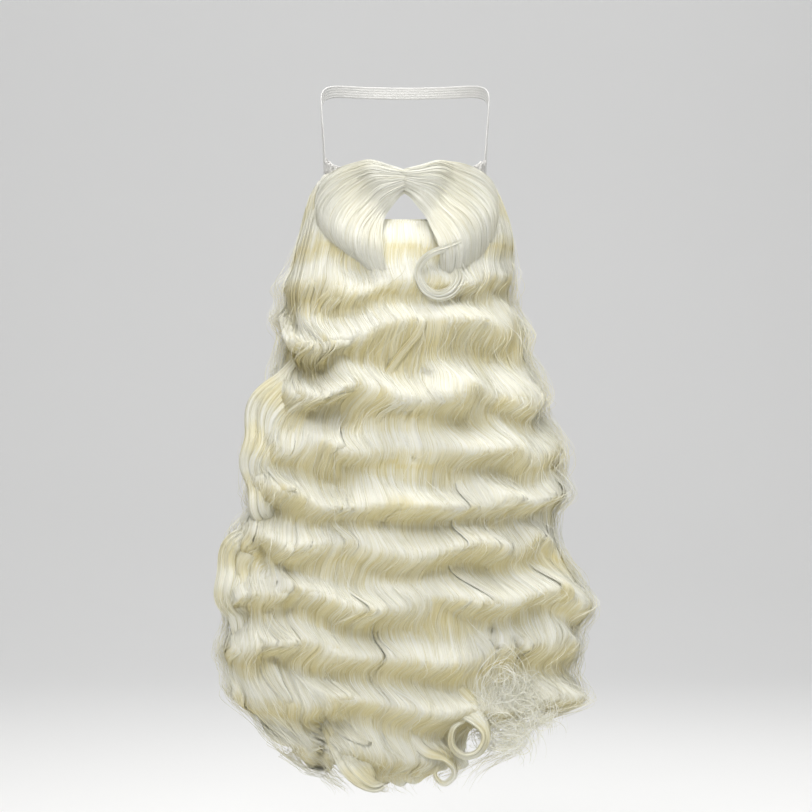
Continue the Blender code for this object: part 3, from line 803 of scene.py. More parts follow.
def free_lock(rng, rows, start):
    """A flattened lock along its own line, whose face turns by the angles given."""
    line, side, face, step = lock_line(rows)
    cols, flatness = 10, 0.55
    taper = 1 - 0.75 * np.linspace(0, 1, len(line)) ** 6
    half = np.maximum(line[:, 3] * taper, 0.0004)
    angle = 2 * math.pi * np.arange(cols) / cols
    cos, sin = np.cos(angle)[None, :, None], np.sin(angle)[None, :, None]
    wide = half[:, None, None] * cos * side[:, None]
    deep = flatness * half[:, None, None] * sin * face[:, None]
    points = line[:, :3][:, None] + wide + deep
    out = unit(flatness * cos * side[:, None] + sin * face[:, None])
    round_it = np.abs(angle / math.pi - 1)[None, :] * half.max() / U_SPAN * np.ones((len(line), 1))
    u = rng.uniform(0.1, 0.9) + round_it
    v = streak_v(start + np.cumsum(step)[:, None] / WAVE_SPACING) * np.ones((1, cols))
    return Lock(points, out, u, v, cols, 0.95)


def wing_grid(guides, lifts, rows, cols):
    """Hair runs of a moustache wing: rows from the parting outwards, columns from edge to mouth."""
    table = np.array(guides, float)
    stand_off = np.array(lifts, float) * MM
    grid = np.stack([photo_x(table[..., 0]), photo_z(table[..., 1]), stand_off], axis=-1)
    grid = spline(grid, cols)
    grid = spline(np.swapaxes(grid, 0, 1), rows)
    x, z, lift = grid[..., 0], grid[..., 1], grid[..., 2]
    return np.stack([x, front_y(x, z) - lift, z], axis=-1)


# Depth of the moustache's own wave, and the locks that lie side by side over one wing
WING_WAVE = 0.0038
WING_LOCKS = 10
WING_RUNS = 61


def wing_locks(rng, guides, lifts, mirror, thick):
    """Overlapping locks side by side over one wing of the moustache."""
    base = wing_grid(guides, lifts, 46, WING_RUNS)
    down = np.gradient(base, axis=0)
    over = np.gradient(base, axis=1)
    out = unit(np.cross(over, down) * (1 if mirror else -1))
    out = np.where(out[..., 1:2] > 0.3, -out, out)
    made = []
    e = np.linspace(-1, 1, LOCK_COLUMNS)
    rows = np.arange(len(base))[:, None]
    t = rows / (len(base) - 1)
    breadth = (WING_RUNS - 1) / WING_LOCKS
    for i in range(WING_LOCKS):
        middle = (i + 0.5) / WING_LOCKS * (WING_RUNS - 1) + rng.uniform(-1, 1)
        spread = breadth * 1.05 * (1 - 0.3 * smooth((t - 0.75) / 0.25))
        wander = 1.6 * np.sin(3.0 * t + rng.uniform(0, 6.3))
        col = np.clip(middle + wander * smooth(t * 3) + e[None, :] * spread, 0, WING_RUNS - 1.01)
        c0 = col.astype(int)
        f = (col - c0)[..., None]
        front = base[rows, c0] * (1 - f) + base[rows, c0 + 1] * f
        facing = unit(out[rows, c0] * (1 - f) + out[rows, c0 + 1] * f)
        crown = thick * dome(e) * smooth(t * 6) * (1 - 0.5 * smooth((t - 0.8) / 0.2))
        wave = 1 + (t - 0.79 + rng.uniform(-0.02, 0.02)) / 0.46
        relief = WING_WAVE * wave_profile(wave % 1.0) * smooth((t - 0.3) / 0.22)
        lift = crown + relief - 0.0035 + rng.uniform(-0.0006, 0.0010)
        front = front + facing * lift[..., None]
        reach = np.cumsum(np.linalg.norm(np.gradient(front, axis=0), axis=-1), axis=0)
        u = rng.uniform(0.1, 0.9) + e[None, :] * 0.010 / U_SPAN * np.ones_like(t)
        made.append(lens(front, facing, 0.010, u, streak_v(0.35 + reach / 0.075), e))
    return made


def lock_mesh(locks):
    """Vertices, four-cornered faces and corner coordinates of the locks' bodies."""
    points, faces, coords, base = [], [], [], 0
    for lock in locks:
        rows, cols = lock.solid_rows, lock.points.shape[1]
        r, c = np.meshgrid(np.arange(rows - 1), np.arange(cols), indexing="ij")
        n = (c + 1) % cols
        row, below = r * cols, (r + 1) * cols
        quads = np.stack([row + c, below + c, below + n, row + n], axis=-1).reshape(-1, 4)
        uv = np.stack([lock.u * np.ones_like(lock.v), lock.v], axis=-1)[:rows].reshape(-1, 2)
        points.append(lock.points[:rows].reshape(-1, 3))
        corner = uv[quads]
        corner[:, 2:, 0] = np.where(
            np.abs(corner[:, 2:, 0] - corner[:, :1, 0]) > 0.2, corner[:, :1, 0], corner[:, 2:, 0]
        )
        faces.append(quads + base)
        coords.append(corner)
        for end, flip in ((0, 1), (rows - 1, -1)):
            ring = np.arange(cols)[::flip] + end * cols
            half = cols // 2
            for k in range(half - 1):
                cap = np.array([ring[k], ring[k + 1], ring[cols - 2 - k], ring[cols - 1 - k]])
                faces.append(cap[None] + base)
                coords.append(uv[cap][None])
        base += rows * cols
    return np.concatenate(points), np.concatenate(faces), np.concatenate(coords)


def hairs_on(rng, lock, number, width, rows, low, high, wander=0.6, fan=0.0, whole=False):
    """Flat hairs laid over a lock: vertices, faces and corner coordinates."""
    each = (number, 1)
    span = lock.points.shape[1] if whole else lock.face
    edge = 0.0 if whole else 0.15
    first = rng.uniform(edge, span - edge, each)
    along = np.linspace(0, 1, rows)[None, :]
    begin = rng.uniform(0, 0.06, each)
    finish = 1 - rng.uniform(0, 1, each) ** 2 * 0.12
    t = begin + (finish - begin) * along
    swing = rng.normal(0, wander, each) * waver(rng, t, 2, 9, each)
    col = first + swing + fan * rng.normal(0, 1, each) * t**2
    if not whole:
        col = np.clip(col, 0, span - 0.01)
    point, out, v = lock.at(t * (lock.points.shape[0] - 1), col)
    lift = rng.uniform(low, high, each) * (0.6 + 0.4 * waver(rng, t, 3, 12, each))
    lift = lift + fan * 0.002 * rng.uniform(-0.3, 1, each) * t**3
    point = point + out * lift[..., None]
    start = np.mod(first.astype(int), lock.points.shape[1])
    u = lock.u[0][start] + rng.uniform(-0.03, 0.03, each)
    return flat_hairs(rng, point, out, u, v, width)


def hair_coordinates(u, v, corners):
    """Streak coordinates of hairs, the same for all corners of a cross-section."""
    uv = np.stack([u * np.ones_like(v), v], axis=-1)[:, :, None] * np.ones((1, 1, corners, 1))
    return uv.reshape(-1, 2)


def flat_hairs(rng, point, out, u, v, width):
    """Hairs as flat strips along the lines given, facing outwards with a random tilt."""
    number, rows = point.shape[:2]
    run = unit(np.gradient(point, axis=1))
    side = unit(np.cross(run, out))
    tilt = rng.normal(0, 0.30, (number, 1, 1))
    side = side * np.cos(tilt) + np.cross(run, side) * np.sin(tilt)
    taper = np.minimum(1, 0.25 + 6 * (1 - np.linspace(0, 1, rows)[None, :, None]))
    broad = width * rng.uniform(0.6, 1.25, (number, 1, 1)) * taper * 0.5
    pair = np.stack([point - side * broad, point + side * broad], axis=2)
    k = np.arange(number)[:, None] * rows * 2 + np.arange(rows - 1)[None, :] * 2
    quads = np.stack([k, k + 1, k + 3, k + 2], axis=-1).reshape(-1, 4)
    return pair.reshape(-1, 3), quads, hair_coordinates(u, v, 2)[quads]


def round_hairs(point, u, v, radius):
    """Thin three-sided hairs along the lines given."""
    number, rows = point.shape[:2]
    run = unit(np.gradient(point, axis=1))
    side = unit(np.cross(run, np.array([0.3, -0.9, 0.32])))
    other = np.cross(run, side)
    slim = radius * np.minimum(1, 0.2 + 5 * (1 - np.linspace(0, 1, rows)))[None, :, None, None]
    angle = 2 * math.pi * np.arange(3) / 3
    ring = np.cos(angle)[:, None] * side[:, :, None] + np.sin(angle)[:, None] * other[:, :, None]
    points = point[:, :, None] + slim * ring
    n, r, c = np.meshgrid(np.arange(number), np.arange(rows - 1), np.arange(3), indexing="ij")
    base = (n * rows + r) * 3
    nxt = (c + 1) % 3
    quads = np.stack([base + c, base + nxt, base + 3 + nxt, base + 3 + c], axis=-1).reshape(-1, 4)
    return points.reshape(-1, 3), quads, hair_coordinates(u, v, 3)[quads]


def joined(parts):
    """Several sets of vertices, faces and coordinates as one."""
    points, faces, coords, base = [], [], [], 0
    for p, f, c in parts:
        points.append(p)
        faces.append(f + base)
        coords.append(c)
        base += len(p)
    return np.concatenate(points), np.concatenate(faces), np.concatenate(coords)


def mesh_object(name, points, faces, coords, finish):
    """A smooth-shaded object from arrays, with its streak coordinates."""
    mesh = bpy.data.meshes.new(name)
    mesh.vertices.add(len(points))
    mesh.vertices.foreach_set("co", points.astype(np.float32).ravel())
    mesh.loops.add(faces.size)
    mesh.loops.foreach_set("vertex_index", faces.astype(np.int32).ravel())
    mesh.polygons.add(len(faces))
    starts = np.arange(0, faces.size, faces.shape[1], dtype=np.int32)
    mesh.polygons.foreach_set("loop_start", starts)
    mesh.polygons.foreach_set("use_smooth", np.ones(len(faces), dtype=bool))
    layer = mesh.uv_layers.new(name="OFBake")
    layer.data.foreach_set("uv", np.clip(coords, 0.001, 0.999).astype(np.float32).ravel())
    mesh.update(calc_edges=True)
    mesh.validate()
    mesh.materials.append(finish)
    obj = bpy.data.objects.new(name, mesh)
    bpy.context.scene.collection.objects.link(obj)
    return obj


def piece(name, parts, finish, slot, *nodes):
    """Makes one piece of the object, rides it on the body and hides the frame parts it stands in for.
    """
    points, faces, coords = joined(parts)
    obj = mesh_object(name, points, faces, coords, finish)
    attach(obj, "root")
    if nodes:
        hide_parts(*nodes)
    return obj


# Shaders


class Value:
    """A number on its way through a shader, with Python's operators."""

    def __init__(self, shader, socket):
        self.shader, self.socket = shader, socket

    def maths(self, operation, *inputs):
        return self.shader.node("ShaderNodeMath", {"operation": operation}, *inputs)

    def __add__(self, other):
        return self.maths("ADD", self, other)

    __radd__ = __add__

    def __mul__(self, other):
        return self.maths("MULTIPLY", self, other)

    __rmul__ = __mul__

    def __sub__(self, other):
        return self.maths("SUBTRACT", self, other)

    def __rsub__(self, other):
        return self.maths("SUBTRACT", other, self)

    def __truediv__(self, other):
        return self.maths("DIVIDE", self, other)

    def __pow__(self, other):
        return self.maths("POWER", self, other)


class Shader:
    """A material with one Principled shader and a way to add nodes."""

    def __init__(self, name, roughness, **constants):
        self.material = bpy.data.materials.new(name)
        self.material.use_nodes = True
        self.tree = self.material.node_tree
        self.surface = self.tree.nodes["Principled BSDF"]
        self.surface.inputs["Roughness"].default_value = roughness
        for socket, value in constants.items():
            self.surface.inputs[socket.replace("_", " ")].default_value = value

    def put(self, socket, value):
        if isinstance(value, Value):
            self.tree.links.new(value.socket, socket)
        else:
            socket.default_value = value

    def node(self, kind, settings, *inputs, output=0, **named):
        made = self.tree.nodes.new(kind)
        for name, value in settings.items():
            setattr(made, name, value)
        for socket, value in zip(made.inputs, inputs):
            self.put(socket, value)
        for name, value in named.items():
            self.put(made.inputs[name.replace("_", " ")], value)
        return Value(self, made.outputs[output])

    def feed(self, name, value):
        self.put(self.surface.inputs[name], value)

    def mix(self, factor, first, second):
        made = self.tree.nodes.new("ShaderNodeMix")
        made.data_type = "RGBA"
        colours = [s for s in made.inputs if s.type == "RGBA"]
        self.put(made.inputs[0], factor)
        for socket, value in zip(colours, (first, second)):
            self.put(socket, value if isinstance(value, Value) else (*value, 1.0))
        return Value(self, [s for s in made.outputs if s.type == "RGBA"][0])

    def ramp(self, value, low, high):
        return self.node(
            "ShaderNodeMapRange", {"interpolation_type": "SMOOTHSTEP"}, value, low, high, 0.0, 1.0
        )

    def streaks(self, vector, across, along, detail=2.0, roughness=0.5):
        """Noise drawn out along the hairs."""
        scale = (across, along, 1.0)
        drawn = self.node("ShaderNodeVectorMath", {"operation": "MULTIPLY"}, vector, scale)
        return self.node(
            "ShaderNodeTexNoise",
            {"noise_dimensions": "2D"},
            Vector=drawn,
            Scale=1.0,
            Detail=detail,
            Roughness=roughness,
        )


def hair_finish(name, gloss=0.36, light=0.0, painted_light_share=1.0, middle=None):
    """Ivory hair: streaks along it, a painted highlight on the wave crests and painted yellowish
    shade in the troughs and between the hairs.
    """
    colours = bpy.context.scene.beard_colours
    middle = middle or tuple(colours.middle)
    shader = Shader(name, gloss, Specular_IOR_Level=0.45, Anisotropic=0.55, Sheen_Weight=0.08)
    uv = shader.node("ShaderNodeUVMap", {"uv_map": "OFBake"})
    parts = shader.node("ShaderNodeSeparateXYZ", {}, uv, output=1)
    count = parts * V_SPAN - V_START
    fine = shader.streaks(uv, 1100.0, 10.0, 3.0, 0.6)
    coarse = shader.streaks(uv, 300.0, 8.0)
    broad = shader.streaks(uv, 45.0, 9.0)
    turn = (count + (coarse - 0.5) * 0.20 + (broad - 0.5) * 0.25) * (2 * math.pi)
    # Where along each wave the painted trough shade and the painted crest highlight fall
    hollow = turn.maths("COSINE", turn - 2 * math.pi * 0.25) * 0.5 + 0.5
    ridge = turn.maths("COSINE", turn - 2 * math.pi * 0.78) * 0.5 + 0.5
    # Painted shade: the trough colour laid into each wave's trough, weaker on the top waves
    trough_shade = shader.ramp(hollow, 0.15, 1.0) * (shader.ramp(broad, 0.25, 0.60) * 0.6 + 0.4)
    trough_shade = trough_shade * (shader.ramp(count, -0.3, 0.6) * 0.7 + 0.3) * painted_light_share
    # Painted highlight: the crest colour laid along each wave's crest
    pale = shader.ramp(ridge, 0.3, 0.95) * (0.3 + 0.7 * painted_light_share)
    streak = shader.ramp(coarse * 0.5 + fine * 0.5, 0.34, 0.66)
    # Random streaks and the painted crest highlight both pull towards the crest colour
    base = shader.mix(streak * 0.60 + pale * 0.40 + (light - 0.05), middle, tuple(colours.crest))
    # The painted trough shade pulls the colour towards the trough colour
    base = shader.mix(trough_shade * (0.85 - streak * 0.3), base, tuple(colours.trough))
    # Painted shade: a darker copy of the trough colour laid between the streaks of hair
    gap = 1.0 - shader.ramp(fine * 0.6 + coarse * 0.4, 0.24, 0.46)
    base = shader.mix(gap * 0.55, base, tuple(0.62 * c for c in colours.trough))
    shader.feed("Base Color", base)
    shader.feed("Roughness", gloss + (fine - 0.5) * 0.30)
    bump = shader.node(
        "ShaderNodeBump", {}, Strength=0.7, Distance=0.0008, Height=fine * 0.7 + coarse * 1.2
    )
    shader.feed("Normal", bump)
    return shader.material


def cloth_finish(name, colour, pitch, strength, roughness=0.85):
    """Plain woven cloth, its threads at the pitch given in metres, with painted shade in the weave's
    low parts and an uneven tone.
    """
    shader = Shader(name, roughness, Sheen_Weight=0.25)
    place = shader.node("ShaderNodeTexCoord", {}, output=3)
    across = shader.node("ShaderNodeSeparateXYZ", {}, place, output=0)
    depth = shader.node("ShaderNodeSeparateXYZ", {}, place, output=1)
    up = shader.node("ShaderNodeSeparateXYZ", {}, place, output=2)
    rate = 2 * math.pi / pitch
    warp = up.maths("SINE", up * rate)
    weft = up.maths("SINE", (across + depth) * rate)
    weave = warp * weft * 0.5 + 0.5
    worn = shader.node(
        "ShaderNodeTexNoise", {"noise_dimensions": "3D"}, Vector=place, Scale=60.0, Detail=4.0
    )
    # Painted shade: darker in the low parts of the weave; the noise adds an uneven tone
    dark = tuple(0.72 * c for c in colour)
    shader.feed("Base Color", shader.mix(weave * 0.4 + worn * 0.6, dark, tuple(colour)))
    shader.feed("Roughness", roughness - 0.1 + worn * 0.2)
    height = weave + worn * 0.3
    bump = shader.node("ShaderNodeBump", {}, Strength=strength, Distance=0.0005, Height=height)
    shader.feed("Normal", bump)
    return shader.material


def elastic_finish(name):
    """Flat braided elastic: fine ribs along it and a chevron braid across, with painted shade in
    their low parts.
    """
    shader = Shader(name, 0.6, Sheen_Weight=0.15)
    uv = shader.node("ShaderNodeUVMap", {"uv_map": "OFBake"})
    across = shader.node("ShaderNodeSeparateXYZ", {}, uv, output=0)
    along = shader.node("ShaderNodeSeparateXYZ", {}, uv, output=1)
    rib = across.maths("SINE", across * (2 * math.pi * 22))
    braid = along.maths("SINE", along * 2400.0 + rib * 1.4)
    height = rib * 0.5 + braid * 0.5
    mask = shader.ramp(height, -0.9, 0.7)
    # Painted shade: grey in the low parts of the ribs and braid, near-white on their tops
    shader.feed("Base Color", shader.mix(mask, (0.66, 0.66, 0.65), (0.90, 0.90, 0.88)))
    shader.feed("Roughness", 0.72 - mask * 0.14)
    bump = shader.node("ShaderNodeBump", {}, Strength=0.6, Distance=0.0004, Height=height)
    shader.feed("Normal", bump)
    return shader.material


def floor_finish(name):
    """Matt paper, a little uneven in tone."""
    colours = bpy.context.scene.beard_colours
    shader = Shader(name, 0.85)
    place = shader.node("ShaderNodeTexCoord", {}, output=3)
    cloud = shader.node("ShaderNodeTexNoise", {}, Vector=place, Scale=1.6, Detail=3.0)
    light = tuple(1.03 * c for c in colours.floor)
    shader.feed("Base Color", shader.mix(cloud, tuple(colours.floor), light))
    return shader.material


# Operators

# The floor's height, how far back the backdrop stands and the radius of the bend between them
FLOOR = -0.62
WALL = 3.6
BEND = 1.4
# The camera's distance and its sensor's width in millimetres
CAMERA_DISTANCE = 2.4
SENSOR = 36.0


class BEARD_OT_stage(bpy.types.Operator):
    """Adds the pale floor that rises behind, the soft lights and the camera"""

    bl_idname = "beard.stage"
    bl_label = "Stage"

    def execute(self, context):
        scene = context.scene
        bend = [math.pi / 2 * i / 16 for i in range(17)]
        profile = [(-6.0, FLOOR)]
        for a in bend:
            profile.append((WALL + BEND * (math.sin(a) - 1), FLOOR + BEND * (1 - math.cos(a))))
        profile += [(WALL, 5.0)]
        points = [(x, y, z) for x in (-6.0, 6.0) for y, z in profile]
        n = len(profile)
        faces = [(i, n + i, n + i + 1, i + 1) for i in range(n - 1)]
        mesh = bpy.data.meshes.new("floor")
        mesh.from_pydata(points, [], faces)
        mesh.shade_smooth()
        mesh.materials.append(floor_finish("floor"))
        floor = bpy.data.objects.new("floor", mesh)
        scene.collection.objects.link(floor)
        lamps = (
            ("key_light", (-0.45, -1.5, 1.5), (1.3, 1.0), 26.5, (1.0, 0.985, 0.96)),
            ("top_light", (0.15, -0.35, 1.5), (1.2, 0.8), 18.0, (1.0, 0.99, 0.98)),
            ("fill_light", (1.6, -1.5, 0.2), (1.2, 1.4), 4.0, (0.97, 0.985, 1.0)),
            ("back_light", (0.3, 1.1, 1.1), (1.2, 0.6), 10.0, (1.0, 0.99, 0.97)),
        )
        backdrop = ("backdrop_light", (0.0, 1.9, 3.0), (4.0, 1.0), 34.0, (1.0, 1.0, 1.0))
        for name, place, size, power, colour in (*lamps, backdrop):
            data = bpy.data.lights.new(name, "AREA")
            data.shape = "RECTANGLE"
            data.size, data.size_y = size
            data.energy = power
            data.color = colour
            lamp = bpy.data.objects.new(name, data)
            lamp.location = place
            target = (0, WALL, 0.4) if name == "backdrop_light" else (0, 0, -0.15)
            aim = Vector(target) - Vector(place)
            lamp.rotation_euler = aim.to_track_quat("-Z", "Y").to_euler()
            scene.collection.objects.link(lamp)
        world = bpy.data.worlds.new("studio")
        world.use_nodes = True
        world.node_tree.nodes["Background"].inputs["Color"].default_value = (1.0, 0.99, 0.97, 1.0)
        world.node_tree.nodes["Background"].inputs["Strength"].default_value = 0.29
        scene.world = world
        scene.view_settings.view_transform = "Standard"
        data = bpy.data.cameras.new("camera")
        camera = bpy.data.objects.new("camera", data)
        data.sensor_width = SENSOR
        data.lens = SENSOR * CAMERA_DISTANCE / (PHOTO_SIDE * PIXEL)
        centre = PHOTO_SIDE / 2
        camera.location = (photo_x(centre), -CAMERA_DISTANCE - 0.02, photo_z(centre))
        camera.rotation_euler = (math.pi / 2, 0, 0)
        scene.collection.objects.link(camera)
        scene.camera = camera
        return {"FINISHED"}


class BEARD_OT_cloth_base(bpy.types.Operator):
    """Gives the cloth base its woven finish"""

    bl_idname = "beard.cloth_base"
    bl_label = "Cloth base"

    def execute(self, context):
        colours = context.scene.beard_colours
        cloth = cloth_finish("base_cloth", colours.cloth, 0.0011, 0.5)
        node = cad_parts["foundation"]
        for slot in node.material_slots:
            slot.material = cloth
        return {"FINISHED"}


def ribbon_body(line, out, half, thick, ribs, rib_depth):
    """A flat band along a line, with small ribs along its faces."""
    run = unit(np.gradient(line, axis=0))
    out = unit(out - run * np.sum(out * run, axis=1, keepdims=True))
    over = np.cross(run, out)
    face = np.linspace(-1, 1, 4 * ribs + 1)
    bulge = 1 + rib_depth * (np.cos(math.pi * face * ribs) - 1) * 0.5
    bulge = bulge * (1 - 0.35 * np.abs(face) ** 12)
    e = np.concatenate([face, face[::-1]])
    h = np.concatenate([bulge, -bulge[::-1]])
    wide = over[:, None] * (e * half)[None, :, None]
    points = line[:, None] + wide + out[:, None] * (h * thick / 2)[None, :, None]
    rows, cols = points.shape[:2]
    u = (e * 0.25 + 0.5)[None, :] * np.ones((rows, 1))
    reach = np.concatenate([[0], np.cumsum(np.linalg.norm(np.diff(line, axis=0), axis=1))])
    v = (0.02 + reach / max(reach[-1], 1e-6) * 0.96)[:, None] * np.ones((1, cols))
    return Lock(points, np.ones_like(points), u, v, cols)


class BEARD_OT_elastic(bpy.types.Operator):
    """Lays the flat ribbed elastic round the back of the head from tab to tab"""

    bl_idname = "beard.elastic"
    bl_label = "Elastic"

    def execute(self, context):
        right = BAND_LEFT[-2::-1] * np.array([-1, 1, 1])
        line = spline(np.concatenate([BAND_LEFT, right]), 110)
        out = np.zeros_like(line)
        out[:, 0] = line[:, 0] / HEAD_HALF_WIDTH**2
        out[:, 1] = (line[:, 1] - HEAD_CENTRE_Y) / HEAD_HALF_LENGTH**2
        half = context.scene.beard_sizes.band_width / 2
        band = ribbon_body(line, out, half, 0.0012, ribs=5, rib_depth=0.5)
        finish = elastic_finish("elastic")
        made = piece("elastic", [lock_mesh([band])], finish, "elastic", "elastic_band")
        return {"FINISHED"}


class BEARD_OT_tabs(bpy.types.Operator):
    """Makes the crinkled cloth tabs that hold the elastic's ends"""

    bl_idname = "beard.tabs"
    bl_label = "Tabs"

    def execute(self, context):
        colours = context.scene.beard_colours
        pale = tuple(min(1.0, 1.06 * c) for c in colours.cloth)
        gauze = cloth_finish("gauze", pale, 0.0009, 0.7)
        for name, side in (("tab_left", -1), ("tab_right", 1)):
            rows, cols = 34, 30
            places = np.linspace(0.62, 0.998, cols)[None, :]
            across = side * places * np.ones((rows, 1))
            top = 0.1010 - 0.014 * ((0.998 - places) / 0.378) ** 0.8
            z = top + (0.0740 - top) * np.linspace(0, 1, rows)[:, None]
            _, out, _ = surface_frame(jaw_surface, across, z)
            fold = np.sin(across * 75 + z * 160) + 0.6 * np.sin(z * 520 - across * 60 + 1.3)
            crease = np.sin(across * 210 - z * 900 + 2.0) + np.sin(across * 330 + z * 640)
            crumple = (0.0011 * fold + 0.0005 * crease)[..., None]
            outer = jaw_surface(across, z, 0.0048) + out * crumple
            inner = jaw_surface(across, z, 0.0040) + out * crumple
            points = np.concatenate([outer, inner[:, ::-1]], axis=1)
            u = np.linspace(0, 1, 2 * cols)[None, :] * np.ones((rows, 1))
            v = np.linspace(0, 1, rows)[:, None] * np.ones((1, 2 * cols))
            body = Lock(points, points, u, v, cols)
            made = piece(name + "_gauze", [lock_mesh([body])], gauze, "cloth", name)
        return {"FINISHED"}


def hair_pieces(
    rng, name, locks, finish, nodes, row=0.0055, whole=False, hairs=1.0, high=0.0011, fan=0.0
):
    """Makes the bodies and the laid hairs of a group of locks."""
    sizes = bpy.context.scene.beard_sizes
    per_metre = sizes.hairs_per_metre * hairs
    piece(name + "_locks", [lock_mesh(locks)], finish, "hair", *nodes)
    parts = []
    for lock in locks:
        middle = lock.points[lock.points.shape[0] // 2]
        broad = np.linalg.norm(np.diff(middle[: lock.face], axis=0), axis=1).sum()
        length = np.linalg.norm(np.diff(lock.points[:, 0], axis=0), axis=1).sum()
        rows = max(8, int(length / row))
        all_round = whole or lock.hairs_all_round
        number = max(4, int(per_metre * broad * lock.hair_share * (1.5 if all_round else 1.0)))
        width = sizes.hair_width
        parts.append(hairs_on(rng, lock, number, width, rows, 0.0001, high, fan=fan, whole=all_round))
    piece(name + "_hairs", parts, finish, "hair")


def third(centre):
    """Name of the third of the hair in which a lock's middle lies."""
    if centre < -SIDE_THIRD:
        return "left"
    return "right" if centre > SIDE_THIRD else "middle"


# Narrow locks that lie over the combed hair
STRANDS = 30


class BEARD_OT_long_hair(bpy.types.Operator):
    """Combs the long hair below the jaw in crosswise waves, layer over layer"""

    bl_idname = "beard.long_hair"
    bl_label = "Long hair"

    def execute(self, context):
        finish = hair_finish("long_hair")
        rng = np.random.default_rng(7)
        groups = {"left": [], "middle": [], "right": []}
        layers = (
            (-0.0090, 0.0060, 12, 0.036, 0.4, 0.1),
            (-0.0045, 0.0050, 15, 0.030, 0.8, 0.45),
            (-0.0010, 0.0034, 18, 0.025, 1.0, 1.0),
        )
        for lift, thick, number, half, loose, share in layers:
            for i in range(number):
                centre = -0.98 + 1.96 * (i + 0.5) / number + rng.uniform(-0.03, 0.03)
                top = float(hair_edge("top", centre)) - rng.uniform(0, 0.004)
                bottom = float(hair_edge("bottom", centre))
                bottom += rng.uniform(-0.004, 0.022) + 0.016 * (1 - loose)
                wide = half * rng.uniform(0.85, 1.15)
                raised = lift + rng.uniform(-0.0004, 0.0010) * loose
                lock = combed_lock(rng, centre, wide, top, bottom, raised, thick, loose)
                lock.hair_share = share
                lock.hairs_all_round = abs(centre) > 0.84 and loose > 0.5
                groups[third(centre)].append(lock)
        for _ in range(STRANDS):
            centre = rng.uniform(-0.86, 0.86)
            top = rng.uniform(-0.34, 0.0)
            bottom = top - rng.uniform(0.07, 0.15)
            lock = strand(rng, centre, rng.uniform(0.005, 0.010), top, bottom, 0.0014, 0.0017)
            groups[third(centre)].append(lock)
        for side, locks in groups.items():
            hair_pieces(rng, "hair_" + side, locks, finish, ("hanging_hair", "jaw_hair"))
        return {"FINISHED"}


class BEARD_OT_inner_hair(bpy.types.Operator):
    """Fills the inside of the long hair down to the face that lies against the chest"""

    bl_idname = "beard.inner_hair"
    bl_label = "Inner hair"

    def execute(self, context):
        rng = np.random.default_rng(11)
        finish = hair_finish("inner_hair", 0.45, painted_light_share=0.55)
        rows, cols = 96, 90
        places = np.linspace(-1, 1, cols)
        top = np.minimum(hair_edge("top", places), 0.060)
        bottom = hair_edge("bottom", places) + 0.034
        t = np.linspace(0, 1, rows)[:, None]
        z = top[None, :] * (1 - t) + bottom[None, :] * t
        across = places[None, :] * np.ones((rows, 1))
        outer, _, count = combed_point(across * 0.985, z, np.full(z.shape, -0.008))
        inner = hollow_surface(across * 0.97, z)
        thin = 0.8 * np.clip(1 - (z - bottom) / 0.06, 0, 1)[..., None] ** 2
        middle = (outer + inner) / 2
        outer = outer * (1 - thin) + middle * thin
        inner = inner * (1 - thin) + middle * thin
        ripple = 0.0012 * np.sin(2 * math.pi * count)[..., None]
        inner = inner + ripple * np.array([0, 1.0, 0])
        points = np.concatenate([outer, inner[:, ::-1]], axis=1)
        u = np.concatenate([places, places[::-1]])[None, :] * 0.45 + 0.5
        v = streak_v(count)
        both = np.concatenate([v, v[:, ::-1]], axis=1)
        body = Lock(points, points, u * np.ones((rows, 1)), both, cols)
        piece("inner_hair", [lock_mesh([body])], finish, "hair", "hanging_hair", "jaw_hair")
        _, out, _ = surface_frame(hollow_surface, across * 0.97, z)
        back = Lock(inner, -out, u[:, :cols] * np.ones((rows, 1)), v, cols - 1)
        hairs = hairs_on(rng, back, 480, 0.0008, 40, 0.0003, 0.0018, wander=0.8)
        piece("inner_hairs", [hairs], finish, "hair")
        return {"FINISHED"}


class BEARD_OT_moustache(bpy.types.Operator):
    """Combs the moustache's two wings outwards and down from the parting under the nose"""

    bl_idname = "beard.moustache"
    bl_label = "Moustache"

    def execute(self, context):
        rng = np.random.default_rng(23)
        pale = tuple(context.scene.beard_colours.moustache)
        finish = hair_finish("moustache_hair", 0.40, light=0.08, painted_light_share=0.15, middle=pale)
        locks = wing_locks(rng, LEFT_WING, LEFT_WING_LIFTS, False, 0.0018)
        locks += wing_locks(rng, RIGHT_WING, RIGHT_WING_LIFTS, True, 0.0028)
        hair_pieces(
            rng, "moustache", locks, finish, ("moustache",), row=0.0036, hairs=1.9, high=0.0016
        )
        return {"FINISHED"}


class BEARD_OT_free_locks(bpy.types.Operator):
    """Curls the free locks at the hem and along the left side"""

    bl_idname = "beard.free_locks"
    bl_label = "Free locks"

    def execute(self, context):
        rng = np.random.default_rng(31)
        finish = hair_finish("curled_hair", 0.38, light=0.04, painted_light_share=0.45)
        locks = []
        for name, rows in FREE_LOCKS.items():
            wave = SIDE_TUFT_WAVE if name.startswith("left") else 0.0
            locks += tuft(rng, rows, rng.uniform(0.5, 1.0), wave)
        hair_pieces(
            rng, "curls", locks, finish, ("hanging_hair",), row=0.0032, whole=True, hairs=0.5, fan=0.4
        )
        return {"FINISHED"}


